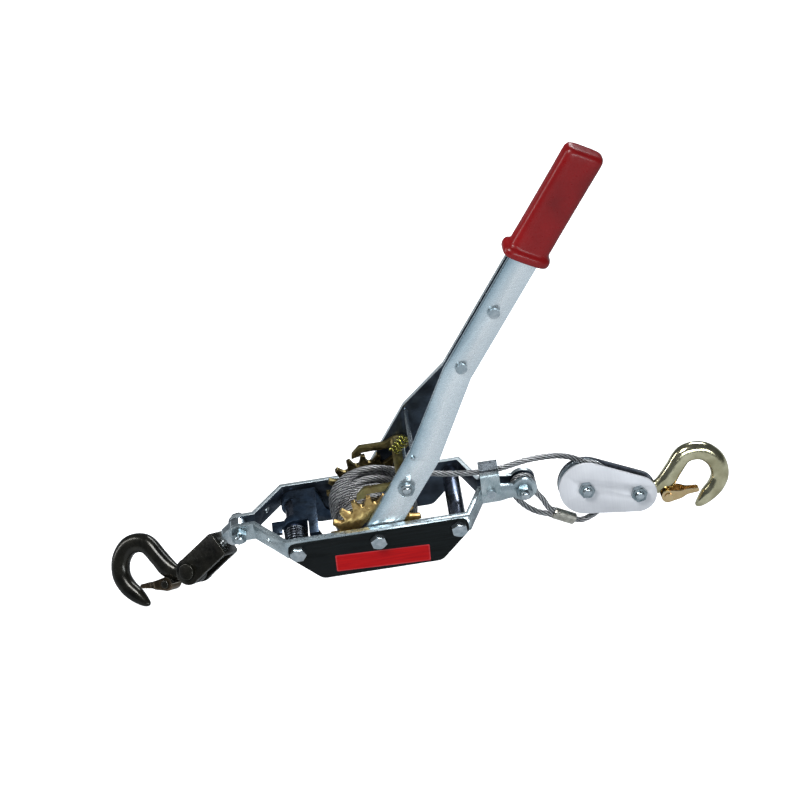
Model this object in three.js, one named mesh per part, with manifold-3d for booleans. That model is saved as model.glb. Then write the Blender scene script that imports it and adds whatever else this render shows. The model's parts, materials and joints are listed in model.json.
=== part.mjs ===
// Hand-operated come-along winch: a ratchet drum in a twin-plate frame, a long handle, a two-part
// wire rope with a running pulley block, and a latched hook at each end.
// Millimetres. +X runs from the anchor hook to the load hook, -Y is the near side, +Z is up.
import * as THREE from 'three';
import { mergeVertices } from 'three/addons/utils/BufferGeometryUtils.js';
import Module from 'manifold-3d';

const wasm = await Module();
wasm.setup();

// ---------------------------------------------------------------- driving dimensions
const GAP = 0.3;                 // running clearance between touching pieces
const DEG = Math.PI / 180;

// placing: the drum axle stands this far above the lowest point and from the box's middle
const AXLE = { x: -35.92, y: -1.56, z: 78.59 };

// frame
const PLATE = 4;                 // side plates and handle arms
const FRAME_HALF = 41.3;         // outer face of a side plate beside the drum
const PLATE_TOP = 12.9;
const STRAP_BOTTOM = -5.1;
const BELLY_BOTTOM = -35.9;
const BEND_X = 82.5;             // where both side plates start to close in
const LEFT_NECK_X = -110;
const RIGHT_NECK_X = 97;
const LEFT_HALF = 8.75;          // outer face of the left clevis
const RIGHT_HALF = 9.0;          // outer face of the right clevis
const ANCHOR = { x: -125, z: 3.6 };
const ROPE_PIN = { x: 137, z: 3.9 };
const CROSS_X = 73.3;            // cross bolts through both side plates
const LABEL = 0.5;

// fasteners
const BOLT_R = 4;
const BOLT_BORE = BOLT_R + GAP;
const HEX_FLATS = 13;
const HEAD = 5;

// drum and ratchet
const SLEEVE_R = 7.5;
const DRUM_BORE = SLEEVE_R + GAP;
const DRUM_R = 16;
const WHEEL = { inner: 27, outer: 31.7, tip: 42, root: 33.5, teeth: 18, face: 112 };
const COIL_HALF = WHEEL.inner - GAP;
const COIL_CREST = 39.6;

// handle, measured along the arm from the axle
const HANDLE_ANGLE = 57.65;
const ARM_OUTER = 36;
const ARM_WIDE = 28;
const ARM_NARROW = 26.5;
const ARM_BEND = 97;             // the arms start to close in here
const ARM_CLOSED = 170;          // and lie together from here on
const ARM_CLOSED_HALF = 6;
const ARM_LENGTH = 396;
const PAWL_BOLT_S = 59.5;
const SPRING_PIN = { s: 92, across: 9, radius: 1.8 };
const RIVET_S = [178, 241.5];
const GRIP = { start: 301, end: 413, wide: 36, thick: 19, collar: 7 };

// pawls
const FINGER = { inner: 27.4, outer: 31.4 };
const SWEEP_R = WHEEL.tip + 0.5; // the pawls rest just outside the teeth

// rope
const ROPE_R = 2.75;
const FERRULE = { x: 161.5, y: -6, z: -31.2, tilt: 32, length: 22, half: 4.5, tall: 5.7, strand: 2.85 };

// pulley block, in its own frame: X from the sheave bolt to the hook bolt
const BLOCK = { x: 193.6, z: -9.5, roll: -15, pitch: 14, span: 48.5, big: 25, small: 17.2, drop: 2 };
const CHEEK = { inner: 5.5, outer: 8.2 };
const SHEAVE = { rim: 24.5, rope: 22.7, half: 4.9, groove: 3.2 };

// hooks and the anchor chain
const HOOK_HALF = 5.1;           // half thickness of the eye
const CHAIN = { angle: 41, swivel: 45, tongue: 24, pin: 63.5 };
const ANCHOR_HOOK_TURN = 31.5;
const ANCHOR_HOOK_SCALE = 1.06;  // the anchor hook is a little larger than the load hook
const YOKE = { inner: 8.3, outer: 11.9, half: 12.2, end: 12.6 };
const LATCH_RIVET = { x: 26.5, z: -9 };

// ---------------------------------------------------------------- solids
function bare(geometry) {
  const copy = geometry.clone();
  copy.deleteAttribute('normal');
  copy.deleteAttribute('uv');
  return mergeVertices(copy, 1e-4);
}

function solid(geometry) {
  const merged = bare(geometry);
  const mesh = new wasm.Mesh({
    numProp: 3,
    vertProperties: new Float32Array(merged.attributes.position.array),
    triVerts: new Uint32Array(merged.index.array),
  });
  return new wasm.Manifold(mesh);
}

function surface(manifold) {
  const mesh = manifold.getMesh();
  const geometry = new THREE.BufferGeometry();
  geometry.setAttribute('position', new THREE.BufferAttribute(new Float32Array(mesh.vertProperties), 3));
  geometry.setIndex(new THREE.BufferAttribute(new Uint32Array(mesh.triVerts), 1));
  return geometry;
}

function join(first, ...others) {
  return others.reduce((whole, other) => whole.add(other), first);
}

function cut(first, ...others) {
  return others.reduce((whole, other) => whole.subtract(other), first);
}

// an outline drawn in X and Z from [x, z, fillet] points
function outline(points) {
  const shape = new THREE.Shape();
  const corners = points.map(([x, z, fillet = 0]) => ({ at: new THREE.Vector2(x, z), fillet }));
  corners.forEach((corner, i) => {
    const before = corners[(i + corners.length - 1) % corners.length].at;
    const after = corners[(i + 1) % corners.length].at;
    const start = corner.at.clone().add(before.clone().sub(corner.at).setLength(corner.fillet));
    const end = corner.at.clone().add(after.clone().sub(corner.at).setLength(corner.fillet));
    if (i === 0) shape.moveTo(start.x, start.y);
    else shape.lineTo(start.x, start.y);
    if (corner.fillet > 0) shape.quadraticCurveTo(corner.at.x, corner.at.y, end.x, end.y);
  });
  shape.closePath();
  return shape;
}

// an outline in X and Z given thickness from y0 to y1
function slab(shape, y0, y1, curveSegments = 3) {
  const geometry = new THREE.ExtrudeGeometry(shape, { depth: y1 - y0, bevelEnabled: false, curveSegments });
  geometry.rotateX(Math.PI / 2);
  geometry.translate(0, y1, 0);
  return solid(geometry);
}

// a round bar along Y
function bar(radius, y0, y1, x = 0, z = 0, sides = 16) {
  const geometry = new THREE.CylinderGeometry(radius, radius, y1 - y0, sides);
  geometry.translate(x, (y0 + y1) / 2, z);
  return solid(geometry);
}

// a hexagon along Y, with two flats level
function hexagon(flats, y0, y1, x = 0, z = 0) {
  const geometry = new THREE.CylinderGeometry(flats / Math.sqrt(3), flats / Math.sqrt(3), y1 - y0, 6);
  geometry.rotateY(15 * DEG);
  geometry.translate(x, (y0 + y1) / 2, z);
  return solid(geometry);
}

function box(x0, x1, y0, y1, z0, z1) {
  const geometry = new THREE.BoxGeometry(x1 - x0, y1 - y0, z1 - z0);
  geometry.translate((x0 + x1) / 2, (y0 + y1) / 2, (z0 + z1) / 2);
  return solid(geometry);
}

function ring(inner, outer, y0, y1, x = 0, z = 0, sides = 20) {
  const profile = [[inner, y0], [outer, y0], [outer, y1], [inner, y1], [inner, y0]];
  const points = profile.map(([r, y]) => new THREE.Vector2(r, y));
  const geometry = new THREE.LatheGeometry(points, sides);
  geometry.translate(x, 0, z);
  return solid(geometry);
}

// a strip of even thickness seen from above, bent at each [x, y] point, and zLow to zHigh tall
function bentStrip(points, thickness, zLow, zHigh) {
  const at = points.map(([x, y]) => new THREE.Vector2(x, y));
  const side = (sign) => at.map((p, i) => {
    const before = at[Math.max(i - 1, 0)];
    const after = at[Math.min(i + 1, at.length - 1)];
    const into = p.clone().sub(before).normalize();
    const out = after.clone().sub(p).normalize();
    const along = into.clone().add(out).normalize();
    const mitre = 1 / Math.max(along.dot(into.length() ? into : out), 0.5);
    return new THREE.Vector2(-along.y, along.x).multiplyScalar((sign * thickness * mitre) / 2).add(p);
  });
  const shape = new THREE.Shape([...side(1), ...side(-1).reverse()]);
  const geometry = new THREE.ExtrudeGeometry(shape, { depth: zHigh - zLow, bevelEnabled: false });
  geometry.translate(0, 0, zLow);
  return solid(geometry);
}

// a round-section rope or wire along a curve
function wire(curve, radius, steps, sides = 8) {
  const section = new THREE.Shape();
  section.absarc(0, 0, radius, 0, Math.PI * 2);
  const geometry = new THREE.ExtrudeGeometry(section, {
    steps, curveSegments: sides / 2, extrudePath: curve, bevelEnabled: false,
  });
  return bare(geometry);
}

// a forged bar whose width and thickness change along a flat curve in X and Z
function forgedBar(stations, steps, sides = 12) {
  const centre = new THREE.CatmullRomCurve3(stations.map(([x, z]) => new THREE.Vector3(x, 0, z)));
  const halves = stations.map(([, , wide, thick]) => new THREE.Vector3(wide, thick, 0));
  const sizes = new THREE.CatmullRomCurve3(halves);
  const geometry = new THREE.CylinderGeometry(1, 1, 1, sides, steps);
  const position = geometry.attributes.position;
  for (let i = 0; i < position.count; i += 1) {
    const t = 0.5 - position.getY(i);
    const p = centre.getPoint(t);
    const along = centre.getTangent(t);
    const size = sizes.getPoint(t);
    const across = position.getX(i) * size.x;
    position.setXYZ(i, p.x + along.z * across, position.getZ(i) * size.y, p.z - along.x * across);
  }
  return solid(geometry);
}

// ---------------------------------------------------------------- scene helpers
const FINISH = {
  zinc: { color: 0xb4bcc0, roughness: 0.35, metalness: 0.9 },
  plateZinc: { color: 0x9fb0b6, roughness: 0.4, metalness: 0.85 },
  yellowZinc: { color: 0xb09a55, roughness: 0.4, metalness: 0.85 },
  blackSteel: { color: 0x23231d, roughness: 0.45, metalness: 0.7 },
  blueZinc: { color: 0x4c5a66, roughness: 0.45, metalness: 0.85 },
  steelRope: { color: 0x8f9496, roughness: 0.45, metalness: 0.85 },
  whiteZinc: { color: 0xc9cdd0, roughness: 0.5, metalness: 0.4 },
  blackLabel: { color: 0x141414, roughness: 0.4, metalness: 0.0 },
  redGrip: { color: 0x8e1418, roughness: 0.45, metalness: 0.0 },
  bronzeLatch: { color: 0x5a4426, roughness: 0.45, metalness: 0.8 },
};

function piece(parent, name, finish, shape) {
  const geometry = shape.isBufferGeometry ? shape : surface(shape);
  const mesh = new THREE.Mesh(geometry, new THREE.MeshStandardMaterial(FINISH[finish]));
  mesh.name = name;
  parent.add(mesh);
  return mesh;
}

// head on the near side, shank across
function boltShape(nearFace, farEnd, x = 0, z = 0, radius = BOLT_R, flats = HEX_FLATS, head = HEAD) {
  return join(hexagon(flats, nearFace - head, nearFace, x, z), bar(radius, nearFace - 0.1, farEnd, x, z));
}

function nutShape(y0, y1, x = 0, z = 0, radius = BOLT_R, flats = HEX_FLATS) {
  return cut(hexagon(flats, y0, y1, x, z), bar(radius + GAP, y0 - 1, y1 + 1, x, z));
}

// ---------------------------------------------------------------- frame
function sidePlate(sign) {
  const middle = sign * (FRAME_HALF - PLATE / 2);
  const left = sign * (LEFT_HALF - PLATE / 2);
  const right = sign * (RIGHT_HALF - PLATE / 2);
  const strip = bentStrip([
    [ANCHOR.x - 20, left], [LEFT_NECK_X, left], [-BEND_X, middle],
    [BEND_X, middle], [RIGHT_NECK_X, right], [ROPE_PIN.x + 20, right],
  ], PLATE, BELLY_BOTTOM - 5, PLATE_TOP + 5);
  const side = slab(outline([
    [ANCHOR.x, PLATE_TOP], [ANCHOR.x, STRAP_BOTTOM], [-BEND_X, STRAP_BOTTOM, 3],
    [-55, BELLY_BOTTOM, 4], [54, BELLY_BOTTOM, 4], [BEND_X, STRAP_BOTTOM, 3],
    [115, STRAP_BOTTOM, 4], [123, -3.2, 3], [ROPE_PIN.x, -3.2], [ROPE_PIN.x, 11.2],
    [123, 11.2, 3], [115, PLATE_TOP, 4],
  ]), -60, 60);
  const leftEnd = bar((PLATE_TOP - STRAP_BOTTOM) / 2, -60, 60, ANCHOR.x, (PLATE_TOP + STRAP_BOTTOM) / 2, 28);
  const rightEnd = bar(11.8, -60, 60, ROPE_PIN.x, ROPE_PIN.z, 28);
  const holes = [
    [0, 0, BOLT_BORE], [-CROSS_X, 0, BOLT_BORE], [CROSS_X, 0, BOLT_BORE],
    [ANCHOR.x, ANCHOR.z, BOLT_BORE], [ROPE_PIN.x, ROPE_PIN.z, BOLT_BORE],
    [-98, 3.9, 2.2], [SADDLE.bolt, SADDLE.z, SADDLE.radius + GAP],
  ].map(([x, z, r]) => bar(r, -60, 60, x, z));
  return cut(strip.intersect(join(side, leftEnd, rightEnd)), ...holes);
}

function labelPlate(sign) {
  const inner = FRAME_HALF + 0.25;
  const [y0, y1] = sign < 0 ? [-inner - LABEL, -inner] : [inner, inner + LABEL];
  const shape = outline([
    [-82, 10.2, 8], [-82, -5.4, 4], [-55.3, -35.4, 4],
    [54.3, -35.4, 4], [82, -5.4, 4], [82, 10.2, 8],
  ]);
  const holes = [0, -CROSS_X, CROSS_X].map((x) => bar(BOLT_BORE, -60, 60, x, 0));
  return cut(slab(shape, y0, y1), ...holes);
}

const SADDLE = { x0: 98.6, x1: 116, half: 11, bolt: 107, z: 8.6, radius: 2.5, top: 31.2, bottom: 5 };

function saddleShape() {
  const wall = 1.7;
  const outer = join(
    box(SADDLE.x0, SADDLE.x1, -SADDLE.half, SADDLE.half, SADDLE.bottom, SADDLE.top - 6),
    box(SADDLE.x0, SADDLE.x1, -SADDLE.half + 5, SADDLE.half - 5, SADDLE.top - 7, SADDLE.top),
  );
  const shoulder = (sign) => bar(6, SADDLE.x0, SADDLE.x1, 0, 0, 24)
    .rotate([0, 0, -90]).translate([0, sign * (SADDLE.half - 6), SADDLE.top - 6]);
  const inside = join(
    box(SADDLE.x0 - 1, SADDLE.x1 + 1, -SADDLE.half + wall, SADDLE.half - wall, 0, SADDLE.top - 6),
    box(SADDLE.x0 - 1, SADDLE.x1 + 1, -4.3, 4.3, SADDLE.top - 8, SADDLE.top - wall),
  );
  const hole = bar(SADDLE.radius + GAP, -60, 60, SADDLE.bolt, SADDLE.z);
  return cut(join(outer, shoulder(1), shoulder(-1)), inside, hole);
}

function thimbleShape() {
  const profile = [[4.3, -4.6], [8.2, -4.6], [8.2, -3.9], [6, -2.6], [6, 2.6], [8.2, 3.9],
    [8.2, 4.6], [4.3, 4.6], [4.3, -4.6]];
  const geometry = new THREE.LatheGeometry(profile.map(([r, y]) => new THREE.Vector2(r, y)), 24);
  geometry.translate(ROPE_PIN.x, 0, ROPE_PIN.z);
  return bare(geometry);
}

function ferruleShape() {
  const section = new THREE.Shape();
  const straight = FERRULE.tall - FERRULE.half;
  section.moveTo(FERRULE.half, -straight);
  section.lineTo(FERRULE.half, straight);
  section.absarc(0, straight, FERRULE.half, 0, Math.PI);
  section.lineTo(-FERRULE.half, -straight);
  section.absarc(0, -straight, FERRULE.half, Math.PI, Math.PI * 2);
  const geometry = new THREE.ExtrudeGeometry(section, {
    depth: FERRULE.length - 2, bevelThickness: 1, bevelSize: 0.8, bevelOffset: -0.8,
    bevelSegments: 1, curveSegments: 6,
  });
  geometry.rotateY(Math.PI / 2);
  geometry.rotateX(Math.PI / 2);
  geometry.translate(1, 0, 0);
  geometry.rotateY(FERRULE.tilt * DEG);
  geometry.translate(FERRULE.x, FERRULE.y, FERRULE.z);
  return bare(geometry);
}

// ---------------------------------------------------------------- drum
function ratchetWheel(sign) {
  const shape = new THREE.Shape();
  const pitch = 360 / WHEEL.teeth;
  const polar = (degrees, radius) => [radius * Math.cos(degrees * DEG), radius * Math.sin(degrees * DEG)];
  for (let tooth = 0; tooth < WHEEL.teeth; tooth += 1) {
    const face = WHEEL.face + tooth * pitch;
    const points = [
      polar(face - 1.2, WHEEL.root + 2), polar(face, WHEEL.tip), polar(face + 5, WHEEL.tip),
      polar(face + 9.5, WHEEL.root + 2), polar(face + 12, WHEEL.root), polar(face + 16, WHEEL.root),
    ];
    points.forEach(([x, z], i) => {
      if (tooth === 0 && i === 0) shape.moveTo(x, z);
      else shape.lineTo(x, z);
    });
  }
  shape.closePath();
  const [y0, y1] = sign < 0 ? [-WHEEL.outer, -WHEEL.inner] : [WHEEL.inner, WHEEL.outer];
  return cut(slab(shape, y0, y1), bar(DRUM_R + GAP, -60, 60, 0, 0, 32));
}

function coilShape() {
  const inner = DRUM_R + GAP;
  const profile = [
    [inner, -COIL_HALF], [30, -COIL_HALF], [33, -22], [35.5, -14], [38, -5], [COIL_CREST, 4],
    [COIL_CREST, 14], [38, 20], [36, 24], [33, COIL_HALF], [inner, COIL_HALF], [inner, -COIL_HALF],
  ];
  return bare(new THREE.LatheGeometry(profile.map(([r, y]) => new THREE.Vector2(r, y)), 30));
}

// ---------------------------------------------------------------- handle (its X runs up the arm)
function handleArm(sign) {
  const low = sign * (ARM_OUTER - PLATE / 2);
  const high = sign * (ARM_CLOSED_HALF - PLATE / 2);
  const bends = [[-30, low], [ARM_BEND, low], [ARM_CLOSED, high], [ARM_LENGTH, high]];
  const strip = bentStrip(bends, PLATE, -20, 20);
  const wide = ARM_WIDE / 2;
  const narrow = ARM_NARROW / 2;
  const side = slab(outline([
    [0, wide], [0, -wide], [ARM_BEND, -wide, 10], [ARM_CLOSED, -narrow, 10],
    [ARM_LENGTH, -narrow], [ARM_LENGTH, narrow], [ARM_CLOSED, narrow, 10], [ARM_BEND, wide, 10],
  ]), -60, 60);
  const holes = [
    [0, 0, DRUM_BORE], [PAWL_BOLT_S, 0, BOLT_BORE], ...RIVET_S.map((s) => [s, 0, 3.3]),
    [SPRING_PIN.s, SPRING_PIN.across, SPRING_PIN.radius + GAP],
  ];
  const drilled = holes.map(([s, across, r]) => bar(r, -60, 60, s, across));
  return cut(strip.intersect(join(side, bar(wide, -60, 60, 0, 0, 32))), ...drilled);
}

// a short tube between the arms, riveted over on both outer faces
function rivetShape(s) {
  const face = ARM_CLOSED_HALF + GAP;
  return join(
    bar(3, -face - 1.5, face + 1.5, s, 0, 16),
    bar(5.2, -face - 2.4, -face, s, 0, 16),
    bar(5.2, face, face + 2.4, s, 0, 16),
  );
}

function gripShape() {
  const section = (wide, thick, corner) => {
    const half = wide / 2;
    const deep = thick / 2;
    const corners = [[-half, -deep], [half, -deep], [half, deep], [-half, deep]];
    return outline(corners.map((place) => [...place, corner]));
  };
  const along = (shape, start, end, bevel) => {
    const geometry = new THREE.ExtrudeGeometry(shape, {
      depth: end - start - 2 * bevel, bevelThickness: bevel, bevelSize: bevel, bevelOffset: -bevel,
      bevelSegments: 2, curveSegments: 4,
    });
    geometry.rotateY(Math.PI / 2);
    geometry.translate(start + bevel, 0, 0);
    return solid(geometry);
  };
  const body = along(section(GRIP.wide, GRIP.thick, 8), GRIP.start, GRIP.end, 3);
  const collarEnd = GRIP.start + GRIP.collar;
  const collar = along(section(GRIP.wide + 6, GRIP.thick + 7, 9), GRIP.start - 1, collarEnd, 1.5);
  const side = ARM_CLOSED_HALF + GAP;
  const high = ARM_NARROW / 2 + GAP;
  const pocket = box(GRIP.start - 5, ARM_LENGTH + 1, -side, side, -high, high);
  return cut(join(body, collar), pocket);
}

// ---------------------------------------------------------------- pawls
function drivePawlShape() {
  const lean = HANDLE_ANGLE * DEG;
  const pivot = { x: PAWL_BOLT_S * Math.cos(lean), z: PAWL_BOLT_S * Math.sin(lean) };
  const finger = outline([
    [-13.8, 40], [-7, 40], [-4, 46, 0.8], [20, 46.6], [pivot.x - 1, pivot.z - 3],
    [pivot.x + 1, pivot.z + 7.9], [26, 57.4, 2], [18, 52.6, 3], [-5.6, 52.8, 1.5], [-13, 45, 1],
  ]);
  const fingers = [-1, 1].map((sign) => {
    const [y0, y1] = sign < 0 ? [-FINGER.outer, -FINGER.inner] : [FINGER.inner, FINGER.outer];
    const body = join(slab(finger, y0, y1), bar(8, y0, y1, pivot.x, pivot.z, 24));
    return cut(body, bar(SWEEP_R, y0 - 1, y1 + 1, 0, 0, 60));
  });
  const web = slab(outline([
    [24, 54.8], [pivot.x, pivot.z + 5.2], [pivot.x + 1, pivot.z + 7.8], [26, 57.3],
  ]), -FINGER.outer, FINGER.outer);
  return cut(join(...fingers, web), bar(BOLT_BORE, -60, 60, pivot.x, pivot.z));
}

class Helix extends THREE.Curve {
  constructor(radius, length, turns) {
    super();
    this.radius = radius;
    this.length = length;
    this.turns = turns;
  }

  getPoint(t, target = new THREE.Vector3()) {
    const angle = t * this.turns * Math.PI * 2;
    const x = this.radius * Math.cos(angle);
    const z = this.radius * Math.sin(angle);
    return target.set(x, (t - 0.5) * this.length, z);
  }
}

function springShape(radius, length, turns, wireRadius, stepsPerTurn) {
  return wire(new Helix(radius, length, turns), wireRadius, Math.round(turns * stepsPerTurn), 6);
}

// curled round the left spacer tube at two places, with a finger for each ratchet wheel;
// the near part leaves the tube free for the spring
function stopPawlShape() {
  const eye = (y0, y1) => ring(8.3, 11.4, y0, y1, -CROSS_X, 0, 20);
  const nose = [
    [-52, 11.4, 1], [-48.5, 3, 2], [-44.5, -13.5, 1.5], [-37.4, -17.6], [-35.2, -22.1],
    [-39.8, -25.3, 1], [-44, -25.3, 2],
  ];
  const farOutline = outline([[-66, 11.4], ...nose, [-57, -17, 3], [-70, -9.5]]);
  const nearOutline = outline([[-60.5, 11.4], ...nose, [-57, -17, 2], [-60.5, -12]]);
  const farFinger = slab(farOutline, FINGER.inner, FINGER.outer);
  const nearFinger = slab(nearOutline, -FINGER.outer, -FINGER.inner);
  const web = join(
    box(-CROSS_X, -52, 3, FINGER.outer, 8.5, 11.4),
    box(-CROSS_X, -58, -11, 4, 8.5, 11.4),
    box(-60.5, -52, -FINGER.outer, 4, 8.5, 11.4),
  );
  const tail = join(
    box(-CROSS_X - 21, -CROSS_X - 8.5, -11, -2, 2.5, 5.5),
    box(-CROSS_X - 21, -CROSS_X - 12, -18, -2, 2.5, 5.5),
  );
  const body = join(farFinger, nearFinger, web, eye(22, FINGER.outer), eye(-11, -2), tail);
  return cut(body, bar(8.3, -60, 60, -CROSS_X, 0, 20), bar(SWEEP_R, -60, 60, 0, 0, 60));
}

// ---------------------------------------------------------------- hooks
// one forging serves both ends: X runs from the eye towards the bowl, Z towards the hook's back
function hookShape() {
  const stations = [
    [8, -1, 5.6, 4.6], [18, -0.6, 7, 4.8], [27, 4.4, 8.8, 6.6], [34.6, 14.4, 8.4, 7],
    [46, 27.6, 8.8, 7], [62, 28.2, 8.8, 7], [73.4, 18, 8.8, 7], [76.6, 3.8, 8.6, 7],
    [72, -7.6, 8.2, 6.8], [63.6, -16, 7.4, 6.2], [56.6, -22.4, 5, 4.4], [52.2, -25.6, 2.4, 2.6],
  ];
  const body = forgedBar(stations, 24, 10);
  const eye = bar(11.6, -HOOK_HALF, HOOK_HALF, 0, 0, 24);
  const latchSeat = bar(4.2, -5, 5, LATCH_RIVET.x, LATCH_RIVET.z, 14);
  const rivetBore = bar(2.3, -20, 20, LATCH_RIVET.x, LATCH_RIVET.z, 14);
  return cut(join(body, eye, latchSeat), bar(BOLT_BORE, -20, 20), rivetBore);
}

// a folded latch: two ears on the rivet and a tongue that closes the bowl from inside the tip
function latchShape() {
  const cheek = outline([
    [20.6, -3, 4.5], [20.6, -15.6, 5.5], [33, -16, 3], [55.6, -12.4, 1.5], [55.6, -8.2, 1.5], [45, -3.6, 3],
    [33, -2.2, 3],
  ]);
  const outer = slab(cheek, -8.6, 8.6);
  const taper = join(
    box(10, 46, -8.6, 8.6, -30, 10),
    slab(outline([[44, -30], [70, -30], [70, 10], [44, 10]]), -4.4, 4.4),
  );
  const inside = box(10, 44.5, -7.3, 7.3, -30, 10);
  const tip = box(44, 54.4, -3.2, 3.2, -14.6, 10);
  const bore = bar(2.3, -20, 20, LATCH_RIVET.x, LATCH_RIVET.z, 14);
  return cut(outer.intersect(taper), inside, tip, bore);
}

function hookRivetShape() {
  return join(
    bar(2, -10, 10, LATCH_RIVET.x, LATCH_RIVET.z, 14),
    bar(3.6, -10.4, -8.9, LATCH_RIVET.x, LATCH_RIVET.z, 14),
    bar(3.6, 8.9, 10.4, LATCH_RIVET.x, LATCH_RIVET.z, 14),
  );
}

// ---------------------------------------------------------------- anchor chain (X runs down the chain)
function tongueShape() {
  const shoulders = [[14, -8.6, 1.5], [17, -6, 1.5], [17, 6, 1.5], [14, 8.6, 1.5]];
  const blade = slab(outline([[0, 8.6], [0, -8.6], ...shoulders]), -4.3, 4.3);
  const eye = bar(8.8, -4.3, 4.3, 0, 0, 28);
  const turned = (radius, x0, x1) => bar(radius, x0, x1, 0, 0, 20).rotate([0, 0, -90]);
  const seat = CHAIN.tongue + 0.4 + GAP;
  const stem = turned(4.3, 15, seat + 1);
  const button = turned(6.6, seat, seat + 3);
  return cut(join(blade, eye, stem, button), bar(BOLT_BORE, -20, 20));
}

function yokeShape() {
  const start = CHAIN.tongue;
  const side = join(
    slab(outline([
      [start - 3.6, YOKE.half, 3], [start - 3.6, -YOKE.half, 3],
      [CHAIN.pin, -YOKE.half], [CHAIN.pin, YOKE.half],
    ]), -YOKE.outer, YOKE.outer),
    bar(YOKE.end, -YOKE.outer, YOKE.outer, CHAIN.pin, 0, 28),
  );
  const inside = box(start + 0.4, CHAIN.pin + 20, -YOKE.inner, YOKE.inner, -20, 20);
  const hole = bar(4.6, start - 10, start + 10, 0, 0, 20).rotate([0, 0, -90]);
  return cut(side, inside, hole, bar(BOLT_BORE, -20, 20, CHAIN.pin, 0));
}

function yokePinShape() {
  const hole = bar(1.5, -20, 20, 0, 0, 12).rotate([90, 0, 0]).translate([CHAIN.pin, YOKE.outer + 4, 0]);
  return cut(join(
    bar(BOLT_R, -YOKE.outer - 1, YOKE.outer + 6.5, CHAIN.pin, 0),
    bar(7.6, -YOKE.outer - 3.2, -YOKE.outer - GAP, CHAIN.pin, 0, 24),
  ), hole);
}

// a split pin through the far end of the yoke pin
function cotterShape() {
  const at = YOKE.outer + 4;
  const loop = new THREE.TorusGeometry(2.5, 1, 8, 14);
  loop.rotateY(Math.PI / 2);
  loop.translate(CHAIN.pin, at, 8.3);
  const leg = bar(1.2, -10, 6.6, 0, 0, 10).rotate([90, 0, 0]).translate([CHAIN.pin, at, 0]);
  return join(leg, solid(loop));
}

// ---------------------------------------------------------------- pulley block (its own frame)
function blockPlate(sign) {
  const shape = new THREE.Shape();
  const between = Math.hypot(BLOCK.span, BLOCK.drop);
  const lean = Math.acos((BLOCK.big - BLOCK.small) / between);
  const droop = Math.atan2(-BLOCK.drop, BLOCK.span);
  shape.absarc(0, 0, BLOCK.big, droop + lean, droop + Math.PI * 2 - lean);
  shape.absarc(BLOCK.span, -BLOCK.drop, BLOCK.small, droop - lean, droop + lean);
  shape.closePath();
  const [y0, y1] = sign < 0 ? [-CHEEK.outer, -CHEEK.inner] : [CHEEK.inner, CHEEK.outer];
  const holes = [0, BLOCK.span].map((x) => bar(BOLT_BORE, -60, 60, x, 0));
  return cut(slab(shape, y0, y1, 12), ...holes);
}

function sheaveShape() {
  const groove = Array.from({ length: 5 }, (_, i) => {
    const angle = (i / 4) * Math.PI;
    return [SHEAVE.rope - SHEAVE.groove * Math.sin(angle), -SHEAVE.groove * Math.cos(angle)];
  });
  const profile = [
    [BOLT_BORE, -SHEAVE.half], [SHEAVE.rim, -SHEAVE.half], [SHEAVE.rim, -4], ...groove,
    [SHEAVE.rim, 4], [SHEAVE.rim, SHEAVE.half], [BOLT_BORE, SHEAVE.half], [BOLT_BORE, -SHEAVE.half],
  ];
  return bare(new THREE.LatheGeometry(profile.map(([r, y]) => new THREE.Vector2(r, y)), 30));
}

// ---------------------------------------------------------------- rope route
// a place in the sheave's plane, turned from the block's frame into the winch's
function onSheave(degrees, radius = SHEAVE.rope) {
  const point = new THREE.Vector3(radius * Math.cos(degrees * DEG), 0, radius * Math.sin(degrees * DEG));
  point.applyEuler(new THREE.Euler(BLOCK.roll * DEG, BLOCK.pitch * DEG, 0));
  return point.add(new THREE.Vector3(BLOCK.x, 0, BLOCK.z));
}

const ROPE_ON = 90;              // the rope meets the sheave here and leaves it here, in degrees
const ROPE_OFF = -16;

function ropeCurve(points) {
  const places = points.map((p) => (p.isVector3 ? p : new THREE.Vector3(...p)));
  return new THREE.CatmullRomCurve3(places, false, 'centripetal');
}

function upperRun() {
  return wire(ropeCurve([
    [12.1, 8, 41.2], [33, 6.5, 35.3], [54, 4.5, 29.4], [78, 1.5, 26.4], [98, 0, 25.4], [116, 0, 25.6],
    [142.5, 2, 28.8], [160, 4.2, 27.6], [173, 6.2, 24.6], [184, 7.4, 19.4],
    onSheave(ROPE_ON + 7), onSheave(ROPE_ON),
  ]), ROPE_R, 20);
}

function turnRun() {
  const angles = Array.from({ length: 9 }, (_, i) => ROPE_ON - 2 + ((ROPE_OFF - ROPE_ON + 4) * i) / 8);
  return wire(ropeCurve(angles.map((angle) => onSheave(angle))), ROPE_R, 14);
}

// a place along the ferrule from its near end, and across it upwards
function atFerrule(along, across = 0) {
  const tilt = FERRULE.tilt * DEG;
  return [
    FERRULE.x + along * Math.cos(tilt) + across * Math.sin(tilt),
    FERRULE.y,
    FERRULE.z - along * Math.sin(tilt) + across * Math.cos(tilt),
  ];
}

function lowerRun() {
  const [x, y, z] = atFerrule(FERRULE.length);
  return wire(ropeCurve([
    onSheave(ROPE_OFF), onSheave(ROPE_OFF - 8), onSheave(-45, 26.2), onSheave(-62, 29.6),
    [x + 9, y - 0.4, z - 1.2], [x + 5, y, z - 0.2], [x + 2.1, y, z],
  ]), ROPE_R, 13);
}

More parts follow.
